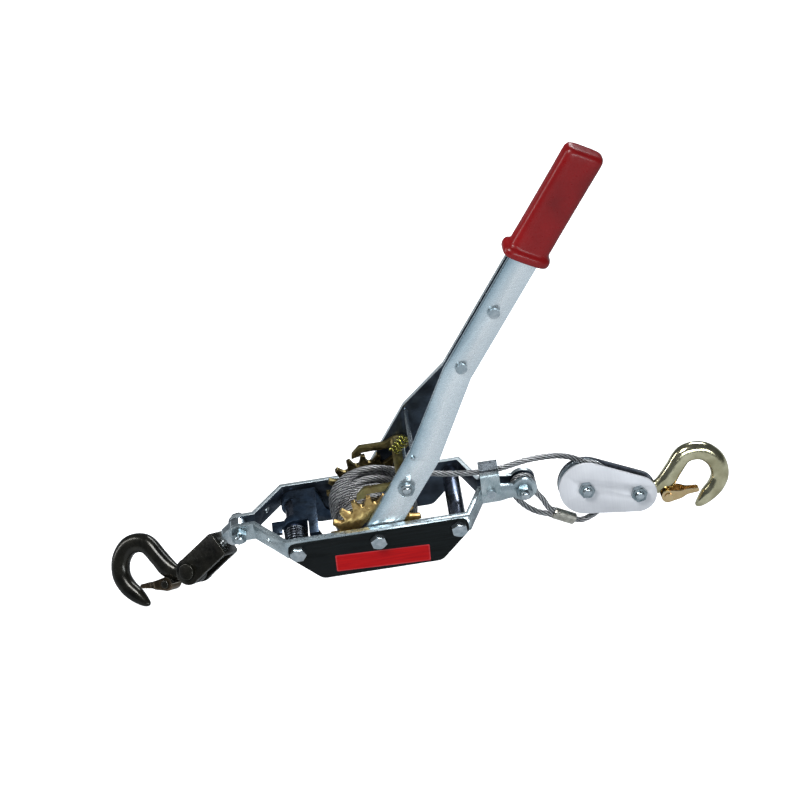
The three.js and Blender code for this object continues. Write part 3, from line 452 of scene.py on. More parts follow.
MAT = {
    "plate": brushed("plate_zinc", (0.36, 0.44, 0.48), (0.66, 0.74, 0.76), 0.27),
    # painted sheen and shade across the near arm: lightest in the middle of its width, darker towards its
    # upper-left edge
    "arm": arm_zinc("arm_zinc", [(0.0, (0.78, 0.86, 0.90)), (0.5, (0.90, 0.95, 0.97)),
                                 (0.8, (0.66, 0.78, 0.84)), (1.0, (0.34, 0.46, 0.53))]),
    # painted shade: the far side plate and far arm are darker copies of the plated strip, with painted
    # highlights on their upper or outer faces
    "inner": painted_shade_plate("painted_shade_plate", (0, 0, 1)),
    "saddle": band_zinc("saddle_zinc"),
    "painted_shade_arm": painted_shade_plate("painted_shade_arm", ARM_ACROSS),
    "wheel": plated("near_wheel_zinc", (0.36, 0.22, 0.07), (0.70, 0.50, 0.20), 0.3, (0.30, 0.17, 0.06)),
    # painted shade: the far ratchet wheel is a darker copy of the near wheel's plating
    "far_wheel": plated("far_wheel_painted_shade", (0.05, 0.04, 0.02), (0.24, 0.18, 0.07), 0.3, (0.06, 0.06, 0.03)),
    # painted shade: the far block cheek is a near-black copy of the light near cheek
    "far_cheek": plated("far_cheek_painted_shade", (0.03, 0.035, 0.045), (0.10, 0.11, 0.13), 0.34),
    "zinc": plated("hardware_zinc", (0.40, 0.45, 0.48), (0.72, 0.77, 0.80), 0.19, (0.30, 0.40, 0.45)),
    "nut": plated("nut_zinc", (0.16, 0.20, 0.22), (0.50, 0.56, 0.59), 0.16, (0.12, 0.20, 0.23)),
    "dark": plated("dark_zinc", (0.020, 0.028, 0.042), (0.07, 0.10, 0.145), 0.3, (0.03, 0.06, 0.11)),
    "tube": plated("tube_zinc", (0.05, 0.06, 0.08), (0.20, 0.22, 0.27), 0.24, (0.10, 0.13, 0.20)),
    "olive": plated("olive_zinc", (0.16, 0.12, 0.05), (0.34, 0.27, 0.11), 0.3, (0.24, 0.24, 0.10)),
    # for the forged finishes, the colour and the amount after the tint are a painted highlight along the
    # edges
    "hook": forged("hook_zinc", (0.42, 0.38, 0.22), (0.80, 0.74, 0.50), 0.15, 1.0, (0.52, 0.52, 0.32),
                   edge_highlight_amount=0.2),
    "latch": forged("latch_zinc", (0.55, 0.40, 0.16), (0.78, 0.60, 0.32), 0.2, 1.0, (0.70, 0.44, 0.30)),
    "black": forged("black_steel", (0.006, 0.006, 0.005), (0.022, 0.021, 0.016), 0.22, 0.6, None,
                    (0.50, 0.48, 0.42), 0.9),
    "bronze": forged("bronze_latch", (0.05, 0.036, 0.022), (0.15, 0.11, 0.07), 0.22, 0.95, None,
                     (0.75, 0.70, 0.6), 0.9),
    "spring": plated("spring_steel", (0.02, 0.024, 0.03), (0.12, 0.13, 0.15), 0.18),
    "bright_spring": plated("spring_zinc", (0.10, 0.09, 0.02), (0.42, 0.40, 0.08), 0.2,
                            (0.06, 0.06, 0.02)),
    "rope": strand_steel("rope_steel"),
    "grip": vinyl("grip_vinyl"),
    "label": printed("label_film", (0.002, 0.003, 0.003), (0.008, 0.011, 0.012)),
    "panel": printed("label_panel", (0.36, 0.003, 0.006), (0.52, 0.008, 0.008)),
    "border": printed("label_border", (0.42, 0.02, 0.03), (0.60, 0.06, 0.06)),
    "cheek": satin("cheek_plate"),
    "ferrule": plated("ferrule_metal", (0.42, 0.40, 0.34), (0.66, 0.64, 0.56), 0.26),
}


# ------------------------------------------------------------------ mesh helpers
def turn_normals_out(mesh):
    work = bmesh.new()
    work.from_mesh(mesh)
    bmesh.ops.recalc_face_normals(work, faces=work.faces)
    work.to_mesh(mesh)
    work.free()


def make(name, vertices, faces, material, body, replaces=(), angle=35, smooth=True):
    """a piece that rides on a body, from its vertices and faces"""
    mesh = bpy.data.meshes.new(name)
    mesh.from_pydata([tuple(v) for v in vertices], [], faces)
    mesh.validate()
    turn_normals_out(mesh)
    finish_piece(name, mesh, material, body, replaces, angle, smooth)


def finish_piece(name, mesh, material, body, replaces=(), angle=35, smooth=True):
    """the object for a mesh, smooth up to an edge angle in degrees; a piece given no body is left unattached
    """
    mesh.materials.append(MAT[material])
    if smooth:
        mesh.polygons.foreach_set("use_smooth", [True] * len(mesh.polygons))
        mesh.set_sharp_from_angle(angle=math.radians(angle))
    piece = bpy.data.objects.new(name, mesh)
    bpy.context.scene.collection.objects.link(piece)
    if body:
        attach(piece, body)
    if replaces:
        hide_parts(*replaces)
    return piece


def circle(count):
    """(cosine, sine) of angles evenly round a turn"""
    return [(math.cos(math.tau * k / count), math.sin(math.tau * k / count)) for k in range(count)]


def quarter(across, up, radius, start, steps):
    """points of a quarter circle from a start angle in degrees, with both its ends"""
    angles = [math.radians(start + 90 * k / steps) for k in range(steps + 1)]
    return [(across + radius * math.cos(a), up + radius * math.sin(a)) for a in angles]


def bowed(value, power):
    """a cosine or sine pushed outwards, for a section between an oval and a rectangle"""
    return math.copysign(abs(value) ** power, value)


def lathe(profile, count, at=Vector(), turn=Matrix.Identity(3), unit=MM):
    """rings turned about the Y axis, one for each (radius, y) of a profile"""
    around = circle(count)
    return [[at + turn @ Vector((r * c, y, r * s)) * unit for c, s in around] for r, y in profile]


def weld_rings(rings, closed=False, caps=True):
    """vertices and faces of a skin over equal rings of points"""
    vertices = [p for ring in rings for p in ring]
    count = len(rings[0])
    faces = []
    pairs = len(rings) if closed else len(rings) - 1
    for i in range(pairs):
        a = i * count
        b = ((i + 1) % len(rings)) * count
        for k in range(count):
            n = (k + 1) % count
            faces.append((a + k, a + n, b + n, b + k))
    if caps and not closed:
        faces.append(tuple(reversed(range(count))))
        last = (len(rings) - 1) * count
        faces.append(tuple(range(last, last + count)))
    return vertices, faces


def transport_frames(points):
    """parallel-transported side vectors along a line of points"""
    tangents = []
    for i, point in enumerate(points):
        before = points[max(i - 1, 0)]
        after = points[min(i + 1, len(points) - 1)]
        tangents.append((after - before).normalized())
    side = tangents[0].orthogonal().normalized()
    sides = []
    for i, tangent in enumerate(tangents):
        if i:
            side = tangents[i - 1].rotation_difference(tangent) @ side
            side = (side - tangent * side.dot(tangent)).normalized()
        sides.append(side.copy())
    return tangents, sides


def smooth_line(points, step):
    """evenly spaced points on a centripetal Catmull-Rom curve, and the index of each given point on it"""
    points = [Vector(p) for p in points]
    padded = [points[0] * 2 - points[1], *points, points[-1] * 2 - points[-2]]
    dense = []
    marks = []
    for i in range(1, len(padded) - 2):
        a, b, c, d = padded[i - 1:i + 3]
        t0 = 0.0
        t1 = t0 + max((b - a).length, 1e-7) ** 0.5
        t2 = t1 + max((c - b).length, 1e-7) ** 0.5
        t3 = t2 + max((d - c).length, 1e-7) ** 0.5
        marks.append(len(dense))
        count = max(int((c - b).length / (step * 0.25)), 4)
        for k in range(count):
            t = t1 + (t2 - t1) * k / count
            a1 = a * ((t1 - t) / (t1 - t0)) + b * ((t - t0) / (t1 - t0))
            a2 = b * ((t2 - t) / (t2 - t1)) + c * ((t - t1) / (t2 - t1))
            a3 = c * ((t3 - t) / (t3 - t2)) + d * ((t - t2) / (t3 - t2))
            b1 = a1 * ((t2 - t) / (t2 - t0)) + a2 * ((t - t0) / (t2 - t0))
            b2 = a2 * ((t3 - t) / (t3 - t1)) + a3 * ((t - t1) / (t3 - t1))
            dense.append(b1 * ((t2 - t) / (t2 - t1)) + b2 * ((t - t1) / (t2 - t1)))
    marks.append(len(dense))
    dense.append(points[-1])
    lengths = [0.0]
    for i in range(1, len(dense)):
        lengths.append(lengths[-1] + (dense[i] - dense[i - 1]).length)
    count = max(int(round(lengths[-1] / step)), 2)
    line = []
    j = 0
    for k in range(count + 1):
        want = lengths[-1] * k / count
        while j < len(lengths) - 2 and lengths[j + 1] < want:
            j += 1
        span = lengths[j + 1] - lengths[j]
        share = 0 if span == 0 else (want - lengths[j]) / span
        line.append(dense[j].lerp(dense[j + 1], min(max(share, 0), 1)))
    index = [int(round(lengths[m] / lengths[-1] * count)) for m in marks]
    return line, index


def tube(line, radius, sides=12):
    tangents, normals = transport_frames(line)
    rings = []
    for point, tangent, side in zip(line, tangents, normals):
        other = tangent.cross(side)
        rings.append([point + (side * c + other * s) * radius for c, s in circle(sides)])
    return weld_rings(rings)


# ------------------------------------------------------------------ wire rope
ROPE_R = 2.75 * MM
STRANDS = 6
LAY = 34 * MM
WIRE_LAY = 1.4 * MM
ROPE_STEP = 1.3 * MM
SHEAVE_ROPE_R = 22.7 * MM
FERRULE_TILT = math.radians(32)
FERRULE_START = (161.5, -6, -31.2)
# half the distance between the two strands in the ferrule, then the eye's bolt and bend
EYE_STRAND = 2.85
EYE_BOLT_X = 137
EYE_BOLT_Z = 3.9
EYE_R = 9.3


def strand_profile(per_strand):
    """(angle, radius, crown, place in the strand) round a rope of equal outer strands"""
    single = ROPE_R / 3
    middle = 2 * single
    waist = middle * math.cos(math.pi / STRANDS) / ROPE_R
    profile = []
    for strand in range(STRANDS):
        for k in range(per_strand):
            local = (k / per_strand - 0.5) * math.tau / STRANDS
            rise = math.sqrt(max(single ** 2 - (middle * math.sin(local)) ** 2, 0))
            reach = middle * math.cos(local) + rise
            crown = (reach / ROPE_R - waist) / (1 - waist)
            profile.append((strand * math.tau / STRANDS + local, reach, crown, k / per_strand))
    return profile


def rope_mesh(name, line, tangents, sides, start, per_strand=7):
    """one stretch of laid rope along prepared points; start is its length along the whole rope"""
    profile = strand_profile(per_strand)
    rings = []
    run = start
    runs = []
    for i, (point, tangent, side) in enumerate(zip(line, tangents, sides)):
        if i:
            run += (point - line[i - 1]).length
        runs.append(run)
        other = tangent.cross(side)
        twist = math.tau * run / LAY
        ring = []
        for angle, reach, _, _ in profile:
            ring.append(point + (side * math.cos(angle + twist) + other * math.sin(angle + twist)) * reach)
        rings.append(ring)
    vertices, faces = weld_rings(rings)
    mesh = bpy.data.meshes.new(name)
    mesh.from_pydata([tuple(v) for v in vertices], [], faces)
    count = len(profile)
    crown = mesh.attributes.new("crown", "FLOAT", "POINT")
    crown.data.foreach_set("value", [profile[i % count][2] for i in range(len(vertices))])
    uv = mesh.uv_layers.new(name="lay")
    values = [0.0] * (2 * len(mesh.loops))
    for polygon in mesh.polygons:
        for loop in polygon.loop_indices:
            vertex = mesh.loops[loop].vertex_index
            values[2 * loop] = runs[vertex // count] / WIRE_LAY
            values[2 * loop + 1] = profile[vertex % count][3]
    uv.data.foreach_set("uv", values)
    return mesh


def lay_rope(name, line, body, replaces, per_strand=7):
    tangents, sides = transport_frames(line)
    rope_piece(name, rope_mesh(name, line, tangents, sides, 0.0, per_strand), body, replaces)


def rope_piece(name, mesh, body, replaces):
    return finish_piece(name, mesh, "rope", body, replaces, 80)


def on_sheave(degrees, radius=SHEAVE_ROPE_R):
    angle = math.radians(degrees)
    return BLOCK_AT + (BLOCK_X * math.cos(angle) + BLOCK_Z * math.sin(angle)) * radius


def at_ferrule(along, across=0.0):
    """a place along the ferrule from its near end, in millimetres, and across it upwards"""
    cos, sin = math.cos(FERRULE_TILT), math.sin(FERRULE_TILT)
    x, y, z = FERRULE_START
    return from_axle(x + along * cos + across * sin, y, z - along * sin + across * cos)


def add_run():
    """the rope from the drum over the saddle, round the sheave and back to the ferrule"""
    upper = [
        (12.1, 8, 41.2), (33, 6.5, 35.3), (54, 4.5, 29.4), (78, 1.5, 26.4), (98, 0, 25.4),
        (116, 0, 25.6), (142.5, 2, 28.8), (160, 4.2, 27.6), (173, 6.2, 24.6), (184, 7.4, 19.4),
    ]
    route = [from_axle(*p) for p in upper] + [on_sheave(97), on_sheave(90)]
    turned = len(route) - 1
    route += [on_sheave(a) for a in (77, 64, 51, 38, 24, 11, -2, -16)]
    left = len(route) - 1
    route += [on_sheave(-24), on_sheave(-45, 26.2 * MM), on_sheave(-62, 29.6 * MM)]
    route += [from_axle(189.4, -6.4, -44.1), from_axle(185, -6, -44.6), at_ferrule(20), at_ferrule(17)]
    line, index = smooth_line(route, ROPE_STEP)
    tangents, sides = transport_frames(line)
    parts = [
        ("laid_upper_run", 0, index[turned], None, ("rope_upper_run",)),
        ("laid_turn", index[turned], index[left], "pulley_block", ("rope_turn",)),
        ("laid_lower_run", index[left], len(line) - 1, None, ("rope_lower_run",)),
    ]
    step = (line[1] - line[0]).length
    blends = {
        "laid_upper_run": (from_axle(120, 0, 25), from_axle(168, 5, 26)),
        "laid_lower_run": (from_axle(182, -6, -43), from_axle(203, -6, -36)),
    }
    for name, first, last, body, nodes in parts:
        cut = slice(first, last + 1)
        mesh = rope_mesh(name, line[cut], tangents[cut], sides[cut], first * step)
        piece = rope_piece(name, mesh, body, nodes)
        if name in blends:
            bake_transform(piece)


def add_eye():
    """the rope's end turned back round the thimble, both legs in the ferrule"""
    eye = from_axle(EYE_BOLT_X, 0, EYE_BOLT_Z)
    around = []
    for degrees in (175, 155, 135, 112, 90, 68, 45, 25, 5):
        angle = math.radians(degrees)
        around.append(eye + Vector((math.cos(angle), 0, math.sin(angle))) * EYE_R * MM)
    legs = (4, -0.6, -3.6)
    down = [at_ferrule(along, -EYE_STRAND) for along in legs]
    down += [from_axle(*p) for p in ((146, -4.4, -27.5), (136.2, -2.2, -20), (128.4, 0, -8))]
    back = [from_axle(*p) for p in ((148, 0, -8), (153.4, -2.2, -16.5), (157.2, -4.6, -24.5))]
    back += [at_ferrule(along, EYE_STRAND) for along in reversed(legs)]
    line, _ = smooth_line(down + around + back, ROPE_STEP)
    lay_rope("laid_eye", line, "frame", ("rope_eye",))


# (y from the drum's middle, radius of the outer rope layer's centre)
COIL_SHAPE = [(-26.7, 27.6), (-22, 30.2), (-14, 32.8), (-5, 35.2), (4, 36.7), (14, 36.7), (20, 35.2),
              (26.7, 30.6)]
COIL_STEPS = 40
COIL_REACH = 23.9
COIL_EXIT_ANGLE = math.radians(16.4)
COIL_EXIT_Y = 8
COIL_EXIT_R = 42.9
UNDER_TURNS = 9
UNDER_PITCH = 5.25
UNDER_START = -23.6
UNDER_DROP = 5.2
OUTER_TURNS = 7.5
CORE_DROP = 7.6
CORE_HALF = 26.6
CORE_BORE = 16.4


def coil_radius(y):
    for (y0, r0), (y1, r1) in zip(COIL_SHAPE, COIL_SHAPE[1:]):
        if y <= y1:
            return r0 + (r1 - r0) * max(y - y0, 0) / (y1 - y0)
    return COIL_SHAPE[-1][1]


def on_drum(radius, y, angle):
    """a place round the drum, the angle from straight up"""
    return from_axle(radius * math.sin(angle), y, radius * math.cos(angle))


def add_under_layer():
    """close turns that fill the gaps of the layer above"""
    points = []
    for i in range(UNDER_TURNS * COIL_STEPS + 1):
        y = UNDER_START + UNDER_PITCH * i / COIL_STEPS
        points.append(on_drum(coil_radius(y) - UNDER_DROP, y, math.tau * i / COIL_STEPS))
    line, _ = smooth_line(points, 2.2 * MM)
    lay_rope("laid_under_layer", line, "drum", (), 4)


def add_outer_layer():
    """slack turns that wander over the ones below, and lift off towards the saddle at the end"""
    total = int(OUTER_TURNS * COIL_STEPS)
    points = []
    for i in range(total + 1):
        share = i / total
        angle = COIL_EXIT_ANGLE - math.tau * (total - i) / COIL_STEPS
        wander = 4.2 * math.sin(angle * 0.5 + 0.6) + 2.4 * math.sin(angle + 1.9)
        y = -21 + 38 * share + wander * min(1, 6 * share, 8 * (1 - share))
        y = max(min(y, COIL_REACH), -COIL_REACH)
        lift = max(0.0, 1 - (total - i) / (0.45 * COIL_STEPS))
        y += (COIL_EXIT_Y - y) * lift ** 1.5
        radius = coil_radius(y) + 1.1 * math.sin(angle * 0.37 + 1.0) * (1 - lift)
        radius += (COIL_EXIT_R - radius) * lift ** 1.6
        points.append(on_drum(radius, y, angle))
    line, _ = smooth_line(points, ROPE_STEP)
    lay_rope("laid_outer_layer", line, "drum", ())


def add_coil_core():
    """the winding's core, painted dark as the shade between the turns, where it alone is seen"""
    profile = [(CORE_BORE, -CORE_HALF)]
    for i in range(33):
        y = -CORE_HALF + 2 * CORE_HALF * i / 32
        profile.append((coil_radius(y) - CORE_DROP, y))
    profile.append((CORE_BORE, CORE_HALF))
    vertices, faces = weld_rings(lathe(profile, 72, AXLE), closed=True)
    make("coil_shade_core", vertices, faces, "dark", "drum", ("rope_coil",))


# ------------------------------------------------------------------ fasteners
HEX_FLATS = 13
HEX_SIDES = 72
CHAMFER_SHARE = 0.97
CHAMFER_SLOPE = 0.55
NUT_BORE_R = 4.25
SHANK_R = 4.0
SHANK_SIDES = 36
THREAD_PITCH = 1.25
THREAD_DEPTH = 0.32
# from the middle plane to the face that a head or nut stands on, and the heads' height there
SIDE_FACE = 42.35
SIDE_HEX = 5.0
BLOCK_FACE = 8.5


def basis(axis, up):
    """a matrix with Y along the axis"""
    y = Vector(axis).normalized()
    z = (Vector(up) - y * Vector(up).dot(y)).normalized()
    return Matrix((y.cross(z), y, z)).transposed()


def hex_reach(angle):
    """from the middle to the hexagon's side, in millimetres"""
    sector = math.pi / 3
    local = (angle + sector / 2) % sector - sector / 2
    return HEX_FLATS / 2 / math.cos(local)


def chamfered_hex(low, high, nut):
    """rings of (radius, y, angle) along +Y: top corners turned off, and for a nut both ends and a bore"""
    turned = HEX_FLATS / 2 * CHAMFER_SHARE
    inside = NUT_BORE_R if nut else 0.02 * HEX_FLATS
    angles = [math.tau * k / HEX_SIDES for k in range(HEX_SIDES)]
    drops = [(hex_reach(a) - turned) * CHAMFER_SLOPE for a in angles]
    rings = [[(inside, low, a) for a in angles]]
    if nut:
        rings.append([(turned, low, a) for a in angles])
        rings.append([(hex_reach(a), low + drop, a) for a, drop in zip(angles, drops)])
    else:
        rings.append([(hex_reach(a), low, a) for a in angles])
    rings.append([(hex_reach(a), high - drop, a) for a, drop in zip(angles, drops)])
    rings.append([(turned, high, a) for a in angles])
    rings.append([(inside, high, a) for a in angles])
    return rings


def place_rings(rings, at, turn, spin=0.0):
    placed = []
    for ring in rings:
        points = [Vector((r * math.cos(a + spin), y, r * math.sin(a + spin))) for r, y, a in ring]
        placed.append([at + turn @ p * MM for p in points])
    return placed


def add_head(name, at, turn, face, height, body, spin, replaces):
    """a bolt head that stands on a face and rises along +Y"""
    rings = chamfered_hex(face, face + height, False)
    vertices, faces = weld_rings(place_rings(rings, at, turn, spin))
    make(name, vertices, faces, "zinc", body, replaces, 28)


def add_nut(name, at, turn, face, height, body, material, spin, replaces):
    """a nut that stands on a face, with turned corners on both sides"""
    rings = chamfered_hex(face, face + height, True)
    vertices, faces = weld_rings(place_rings(rings, at, turn, spin), closed=True)
    make(name, vertices, faces, material, body, replaces, 28)


def add_shank(name, at, turn, low, high, body):
    """a shank with a real helical thread that fades out into a turned tip"""
    steps = max(int((high - low) / THREAD_PITCH * 8), 4)
    angles = [math.tau * k / SHANK_SIDES for k in range(SHANK_SIDES)]
    rings = []
    for i in range(steps + 1):
        y = low + (high - low) * i / steps
        fade = min(1.0, (high - y) / THREAD_PITCH)
        ring = []
        for k, angle in enumerate(angles):
            phase = (y / THREAD_PITCH - k / SHANK_SIDES) % 1.0
            groove = THREAD_DEPTH * abs(2 * phase - 1) * fade
            ring.append((SHANK_R - groove - (1 - fade) * 0.15, y, angle))
        rings.append(ring)
    for radius, rise in ((SHANK_R - 0.9, 0.64), (SHANK_R - 1.6, 0.8), (0.08, 0.8)):
        rings.append([(radius, high + rise, a) for a in angles])
    vertices, faces = weld_rings(place_rings(rings, at, turn))
    make(name, vertices, faces, "zinc", body, (), 40)


def bolt_through(name, at, turn, face, stick, body, spins, nut_height, head_height):
    """a bolt whose nut is on the near side, with the shank sticking out past that face, and its head far"""
    near = turn @ Matrix.Rotation(math.pi, 3, "X")
    add_head(f"{name}_head", at, turn, face, head_height, body, -spins[0], (f"{name}_bolt",))
    add_nut(f"{name}_nut_hex", at, near, face, nut_height, body, "nut", spins[1], (f"{name}_nut",))
    add_shank(f"{name}_shank", at, near, -face - 0.2, face + stick, body)


def add_fasteners():
    """every bolt is a chamfered head, a shank and a threaded end"""
    level = basis((0, 1, 0), (0, 0, 1))
    near = level @ Matrix.Rotation(math.pi, 3, "X")
    for name, x, spin in (("axle", 0, 0.2), ("left_cross", -73.3, 0.45), ("right_cross", 73.3, 0.1)):
        at = from_axle(x, 0, 0)
        add_head(f"{name}_head", at, near, SIDE_FACE, SIDE_HEX, "frame", -spin, (f"{name}_bolt",))
        add_nut(f"{name}_nut_hex", at, level, SIDE_FACE, SIDE_HEX, "frame", "zinc", spin + 0.3,
                (f"{name}_nut",))
        add_shank(f"{name}_shank", at, level, -SIDE_FACE - 0.05, SIDE_FACE + 4.25, "frame")
    eye = from_axle(EYE_BOLT_X, 0, EYE_BOLT_Z)
    pawl = AXLE + ARM_ALONG * 59.5 * MM
    bolt_through("anchor", from_axle(-125, 0, 3.6), level, 9.05, 9.7, "frame", (0.3, 0.12), 6.5, 5.0)
    bolt_through("rope_anchor", eye, level, 9.3, 9.7, "frame", (0.1, 0.4), 6.5, 5.0)
    bolt_through("pawl", pawl, level, 36.3, 4.4, "handle", (0.2, 0.5), 4.2, 4.6)
    for name, at, spins in (("sheave", BLOCK_AT, (0.0, 0.3)), ("hook", HOOK_BOLT, (0.4, 0.1))):
        bolt_through(name, at, BLOCK_TURN, BLOCK_FACE, 7.7, "pulley_block", spins, 6.0, 4.6)


# ------------------------------------------------------------------ springs
def helix(at, axis, up, radius, length, turns, per_turn=28):
    turn = basis(axis, up)
    points = []
    count = turns * per_turn
    for i in range(count + 1):
        angle = math.tau * i / per_turn
        y = (i / count - 0.5) * length
        points.append(at + turn @ Vector((radius * math.cos(angle), y, radius * math.sin(angle))) * MM)
    return points


def add_springs():
    points = helix(from_axle(-73.3, -24.5, 0), (0, 1, 0), (0, 0, 1), 9.9, 20.6, 6)
    vertices, faces = tube(points, 1.1 * MM)
    make("stop_spring_wire", vertices, faces, "spring", "frame", ("stop_pawl_spring",))
    low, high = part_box("drive_pawl_spring")
    slant = math.radians(50)
    points = helix((low + high) / 2, (math.cos(slant), 0, math.sin(slant)), (0, 1, 0), 4.2, 19.6, 5)
    vertices, faces = tube(points, 0.9 * MM)
    make("drive_spring_wire", vertices, faces, "bright_spring", "handle",
         ("drive_pawl_spring",))


# ------------------------------------------------------------------ hooks
# the rivet's place in a hook's own frame, whose origin is the eye and whose X runs down the shank
RIVET_X = 26.5
RIVET_Z = -9
RIVET_R = 2.3
EYE_BORE_R = 4.3
VOXEL = 0.7

# (end, hook's material and slot, latch's material and slot)
HOOKS = (
    ("load", "hook", "yellow_zinc", "latch", "yellow_zinc"),
    ("anchor", "black", "black_steel", "bronze", "bronze_latch"),
)

# (x, z, half width in the hook's plane, half thickness) along the bar's centre line, eye to tip
HOOK_STATIONS = [
    (8, -1, 5.6, 4.6), (18, -0.6, 7, 4.8), (27, 4.4, 8.8, 6.6), (34.6, 14.4, 8.4, 7),
    (46, 27.6, 8.8, 7), (62, 28.2, 8.8, 7), (73.4, 18, 8.8, 7), (76.6, 3.8, 8.6, 7),
    (72, -7.6, 8.2, 6.8), (63.6, -16, 7.4, 6.2), (56.6, -22.4, 5, 4.4), (52.2, -25.6, 2.4, 2.6),
]
EYE_PROFILE = [(10.4, -4.9), (11.3, -4.2), (11.6, -2.6), (11.6, 2.6), (11.3, 4.2), (10.4, 4.9)]


def hook_frame(end):
    """the eye's centre, the hook's own X, Y and Z, and its scale, from the joints"""
    eye = Vector(JOINTS[f"{end}_hook_swing"]["pos_m"])
    latch = JOINTS[f"{end}_latch_swing"]
    y = -Vector(latch["axis"]).normalized()
    line = Vector(latch["pos_m"]) - eye
    scale = line.length / (math.hypot(RIVET_X, RIVET_Z) * MM)
    lean = math.atan2(-RIVET_Z, RIVET_X)
    ahead = line.normalized()
    x = (ahead * math.cos(lean) - y.cross(ahead) * math.sin(lean)).normalized()
    return eye, Matrix((x, y, x.cross(y))).transposed(), scale


def uniform_spline(rows, count):
    """points on a uniform Catmull-Rom curve through rows of numbers"""
    padded = [rows[0], *rows, rows[-1]]
    padded[0] = tuple(2 * a - b for a, b in zip(rows[0], rows[1]))
    padded[-1] = tuple(2 * a - b for a, b in zip(rows[-1], rows[-2]))
    spans = len(rows) - 1
    made = []
    for i in range(count + 1):
        place = min(i / count * spans, spans - 1e-9)
        k = int(place)
        t = place - k
        a, b, c, d = padded[k:k + 4]
        made.append(tuple(
            q + 0.5 * ((r - p) * t + (2 * p - 5 * q + 4 * r - s) * t ** 2 + (3 * q - p - 3 * r + s) * t ** 3)
            for p, q, r, s in zip(a, b, c, d)
        ))
    return made


def swept_bar():
    """the hook's bar as rings along its centre line, closed by a rounded tip"""
    rows = uniform_spline(HOOK_STATIONS, 84)
    rings = []
    for i, (x, z, wide, thick) in enumerate(rows):
        before = rows[max(i - 1, 0)]
        after = rows[min(i + 1, len(rows) - 1)]
        along = Vector((after[0] - before[0], 0, after[1] - before[1])).normalized()
        across = Vector((along.z, 0, -along.x)) * wide * 0.985
        ring = []
        for c, s in circle(28):
            ring.append(Vector((x, bowed(s, 0.86) * thick * 0.985, z)) + across * bowed(c, 0.86))
        rings.append(ring)
    last = rings[-1]
    tip = Vector((rows[-1][0], 0, rows[-1][1]))
    ahead = (tip - Vector((rows[-2][0], 0, rows[-2][1]))).normalized()
    for share, grow in ((0.7, 0.6), (0.25, 1.1)):
        rings.append([tip + ahead * grow + (p - tip) * share for p in last])
    return rings


def drill(x, z, radius):
    """a bar to cut a bore with"""
    mesh = bpy.data.meshes.new("drill")
    work = bmesh.new()
    place = Matrix.Translation((x, 0, z)) @ Matrix.Rotation(math.pi / 2, 4, "X")
    bmesh.ops.create_cone(work, cap_ends=True, segments=40, radius1=radius, radius2=radius, depth=30,
                          matrix=place)
    work.to_mesh(mesh)
    work.free()
    tool = bpy.data.objects.new("drill", mesh)
    bpy.context.scene.collection.objects.link(tool)
    return tool


def hook_mesh(name):
    """the forging in its own frame, in millimetres: bar, eye and latch seat fused, smoothed and bored"""
    seat = Vector((RIVET_X, 0, RIVET_Z))
    parts = (
        swept_bar(),
        lathe(EYE_PROFILE, 56, unit=1),
        lathe([(4.0, -5.6), (4.0, 5.6)], 32, seat, unit=1),
    )
    vertices = []
    faces = []
    for rings in parts:
        shift = len(vertices)
        more_vertices, more_faces = weld_rings(rings)
        vertices += more_vertices
        faces += [tuple(i + shift for i in face) for face in more_faces]
    mesh = bpy.data.meshes.new(name)
    mesh.from_pydata([tuple(v) for v in vertices], [], faces)
    turn_normals_out(mesh)
    maker = bpy.data.objects.new(name + "_maker", mesh)
    bpy.context.scene.collection.objects.link(maker)
    remesh = maker.modifiers.new("remesh", "REMESH")
    remesh.mode = "VOXEL"
    remesh.voxel_size = VOXEL
    smooth = maker.modifiers.new("smooth", "CORRECTIVE_SMOOTH")
    smooth.use_only_smooth = True
    smooth.factor = 0.5
    smooth.iterations = 9
    tools = [drill(0, 0, EYE_BORE_R), drill(RIVET_X, RIVET_Z, RIVET_R)]
    for tool in tools:
        hole = maker.modifiers.new("hole", "BOOLEAN")
        hole.operation = "DIFFERENCE"
        hole.object = tool
        hole.solver = "EXACT"
    graph = bpy.context.evaluated_depsgraph_get()
    graph.update()
    finished = bpy.data.meshes.new_from_object(maker.evaluated_get(graph))
    for used in (maker, *tools):
        bpy.data.objects.remove(used)
    return finished


def add_hooks():
    shared = hook_mesh("forging")
    for end, material, slot_name, _, _ in HOOKS:
        eye, turn, scale = hook_frame(end)
        mesh = shared.copy()
        mesh.materials.clear()
        mesh.transform(Matrix.Translation(eye) @ turn.to_4x4() @ Matrix.Scale(scale * MM, 4))
        node = f"{end}_hook"
        finish_piece(f"{node}_forging", mesh, material, node, (node,), 50)


LATCH_START = 20.35
LATCH_LENGTH = 35.45
LATCH_END_R = 6.3
LATCH_SHEET = 1.15


def latch_section(x):
    """half width, top and bottom of the latch at a distance along it: wide cheeks, then a narrow tip"""
    ease = min(max((x - 37) / 9, 0), 1)
    half = 8.6 - 4.3 * ease * ease * (3 - 2 * ease)
    if x < RIVET_X:
        arc = math.sqrt(max(LATCH_END_R ** 2 - (RIVET_X - x) ** 2, 0.3))
        return half, RIVET_Z + arc, RIVET_Z - arc
    share = (x - RIVET_X) / (LATCH_START + LATCH_LENGTH - RIVET_X)
    swell = math.sin(math.pi * share)
    pinch = 1.3 * (max(share - 0.93, 0) / 0.07) ** 2
    return half, -2.7 - 4.2 * share - 0.8 * swell - pinch, -15.3 + 4.4 * share + 0.5 * swell + pinch


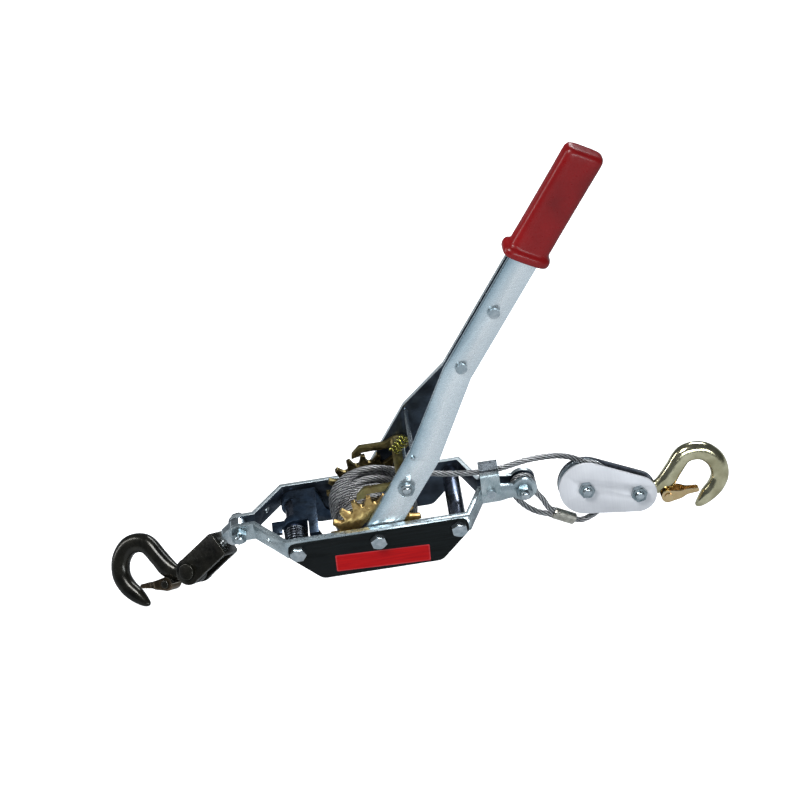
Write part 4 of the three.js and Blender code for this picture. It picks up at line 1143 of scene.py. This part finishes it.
def add_latches():
    """pressed channel-section keepers: two cheeks, a rounded back and a narrow tip"""
    for end, _, _, material, slot_name in HOOKS:
        eye, turn, scale = hook_frame(end)
        rings = []
        for i in range(61):
            x = LATCH_START + LATCH_LENGTH * i / 60
            half, top, bottom = latch_section(x)
            corner = min(1.8, (top - bottom) / 3)
            wall = half - LATCH_SHEET
            base = bottom + LATCH_SHEET
            ring = [(-half, top)]
            ring += quarter(-half + corner, bottom + corner, corner, 180, 5)
            ring += quarter(half - corner, bottom + corner, corner, 270, 5)
            ring += [(half, top), (wall, top), (wall, base + 0.5), (wall - 0.6, base)]
            ring += [(0.6 - wall, base), (-wall, base + 0.5), (-wall, top)]
            rings.append([eye + turn @ Vector((x, y, z)) * scale * MM for y, z in ring])
        vertices, faces = weld_rings(rings)
        make(f"{end}_hook_keeper", vertices, faces, material, f"{end}_latch",
             (f"{end}_hook_latch",), 32)


# ------------------------------------------------------------------ grip
# (distance from the axle, half width, half depth): the bore from its blind end, then the collar and skin
GRIP_BORE = [(395, 0.4, 0.15), (395, 13.6, 6.4), (302, 13.6, 6.4), (300.6, 14.2, 7.0)]
GRIP_SKIN = [
    (300.4, 20.2, 12.2), (300.1, 20.9, 12.9), (300.8, 21.5, 13.3), (302.6, 21.9, 13.6), (304.8, 21.9, 13.6),
    (306.8, 21.2, 13.0), (308.0, 19.9, 11.6), (309.2, 18.7, 10.1), (311.5, 18.0, 9.5), (330, 17.8, 9.4),
    (360, 17.7, 9.4), (390, 17.8, 9.4), (403, 17.9, 9.5), (408.5, 17.7, 9.3), (411.3, 16.6, 8.2),
    (412.6, 14.6, 6.4), (413.0, 11.6, 4.0), (413.0, 3.0, 1.0), (413.0, 0.4, 0.15),
]


def add_grip():
    """dipped grip: rounded flat section, a rolled collar at its mouth, rounded end"""
    rings = []
    for along, wide, deep in [*GRIP_BORE, *GRIP_SKIN]:
        power = 0.55 if wide > 6 else 0.9
        ring = []
        for c, s in circle(64):
            at = ARM_ALONG * along + ARM_ACROSS * bowed(c, power) * wide
            ring.append(AXLE + (at + Vector((0, bowed(s, power) * deep, 0))) * MM)
        rings.append(ring)
    vertices, faces = weld_rings(rings)
    make("dipped_grip", vertices, faces, "grip", "handle", ("handle_grip",), 60)


# ------------------------------------------------------------------ labels
LABEL_FACE = 42.09
LABEL_TILT = math.radians(2.6)
PANEL_X = (-40.4, 43)
PANEL_Z = (-30.4, -13.4)


def add_labels():
    """each side's blank red panel on its lighter border, on the black film"""
    tilt = Matrix.Rotation(LABEL_TILT, 3, "Y")
    middle = Vector((sum(PANEL_X) / 2, 0, sum(PANEL_Z) / 2))
    for side, sign in (("near", -1), ("far", 1)):
        for part, grow, lift in (("border", 1.1, 0.05), ("panel", 0.0, 0.10)):
            x0, x1 = PANEL_X[0] - grow + 1, PANEL_X[1] + grow - 1
            z0, z1 = PANEL_Z[0] - grow + 1, PANEL_Z[1] + grow - 1
            corners = []
            for x, z, start in ((x1, z1, 0), (x0, z1, 90), (x0, z0, 180), (x1, z0, 270)):
                corners += quarter(x, z, 1, start, 4)
            turned = [middle + tilt @ (Vector((x, 0, z)) - middle) for x, z in corners]
            rings = [[from_axle(p.x, sign * (LABEL_FACE + rise), p.z) for p in turned] for rise in (0, lift)]
            vertices, faces = weld_rings(rings)
            make(f"{side}_label_{part}", vertices, faces, part, "frame", smooth=False)


# ------------------------------------------------------------------ sheave
def add_sheave():
    """a turned wheel with relieved faces, rounded rims and a half-round groove"""
    half = [(4.3, -4.9), (9, -4.9), (9.6, -4.5), (20.5, -4.5), (21.2, -4.9), (24.2, -4.9), (24.5, -4.6),
            (24.4, -3.7)]
    groove = [(22.7 - r, -y) for y, r in quarter(0, 0, 3.2, 0, 4) + quarter(0, 0, 3.2, 90, 4)[1:]]
    profile = half + groove + [(r, -y) for r, y in reversed(half)]
    vertices, faces = weld_rings(lathe(profile, 96, BLOCK_AT, BLOCK_TURN), closed=True)
    make("turned_sheave", vertices, faces, "zinc", "sheave", ("sheave",), 40)


# ------------------------------------------------------------------ CAD nodes that stay
# material: (width of the bevel, or None for edges that stay as they are, and the nodes)
KEPT = {
    "plate": (0.45, ["near_side_plate"]),
    "inner": (0.45, ["far_side_plate"]),
    "arm": (0.55, ["near_handle_arm"]),
    "painted_shade_arm": (0.55, ["far_handle_arm"]),
    "label": (0.12, ["near_label", "far_label"]),
    "tube": (0.3, ["left_spacer_tube", "right_spacer_tube", "drum_tube", "axle_sleeve"]),
    "saddle": (None, ["rope_saddle"]),
    "zinc": (None, ["saddle_bolt", "rope_thimble", "lower_handle_rivet", "upper_handle_rivet",
                    "spring_pin", "swivel_tongue", "cotter_pin"]),
    "ferrule": (None, ["rope_ferrule"]),
    "wheel": (0.3, ["near_ratchet_wheel"]),
    "far_wheel": (0.3, ["far_ratchet_wheel"]),
    "olive": (0.4, ["drive_pawl"]),
    "dark": (0.4, ["stop_pawl"]),
    "cheek": (0.5, ["near_block_plate"]),
    "far_cheek": (0.5, ["far_block_plate"]),
    "black": (0.7, ["hook_yoke", "yoke_pin", "anchor_hook_rivet"]),
    "latch": (None, ["load_hook_rivet"]),
}


def round_edges(node, width):
    """one even bevel along the sharp edges, after the flat faces' triangles are joined"""
    weld = node.modifiers.new("weld", "WELD")
    weld.merge_threshold = 0.00001
    flat = node.modifiers.new("flat", "DECIMATE")
    flat.decimate_type = "DISSOLVE"
    flat.angle_limit = math.radians(2)
    bevel = node.modifiers.new("bevel", "BEVEL")
    bevel.width = width * MM
    bevel.segments = 2
    bevel.limit_method = "ANGLE"
    bevel.angle_limit = math.radians(38)
    bevel.harden_normals = True
    bevel.use_clamp_overlap = True


def dress_kept_nodes():
    for material, (width, names) in KEPT.items():
        for name in names:
            node = NODES[name]
            node.data.materials.clear()
            node.data.materials.append(MAT[material])
            node.data.polygons.foreach_set("use_smooth", [True] * len(node.data.polygons))
            if width:
                round_edges(node, width)


add_camera()
add_studio()
add_floor()
dress_kept_nodes()
add_run()
add_eye()
add_under_layer()
add_outer_layer()
add_coil_core()
add_fasteners()
add_springs()
add_hooks()
add_latches()
add_grip()
add_labels()
add_sheave()
bpy.context.view_layer.update()
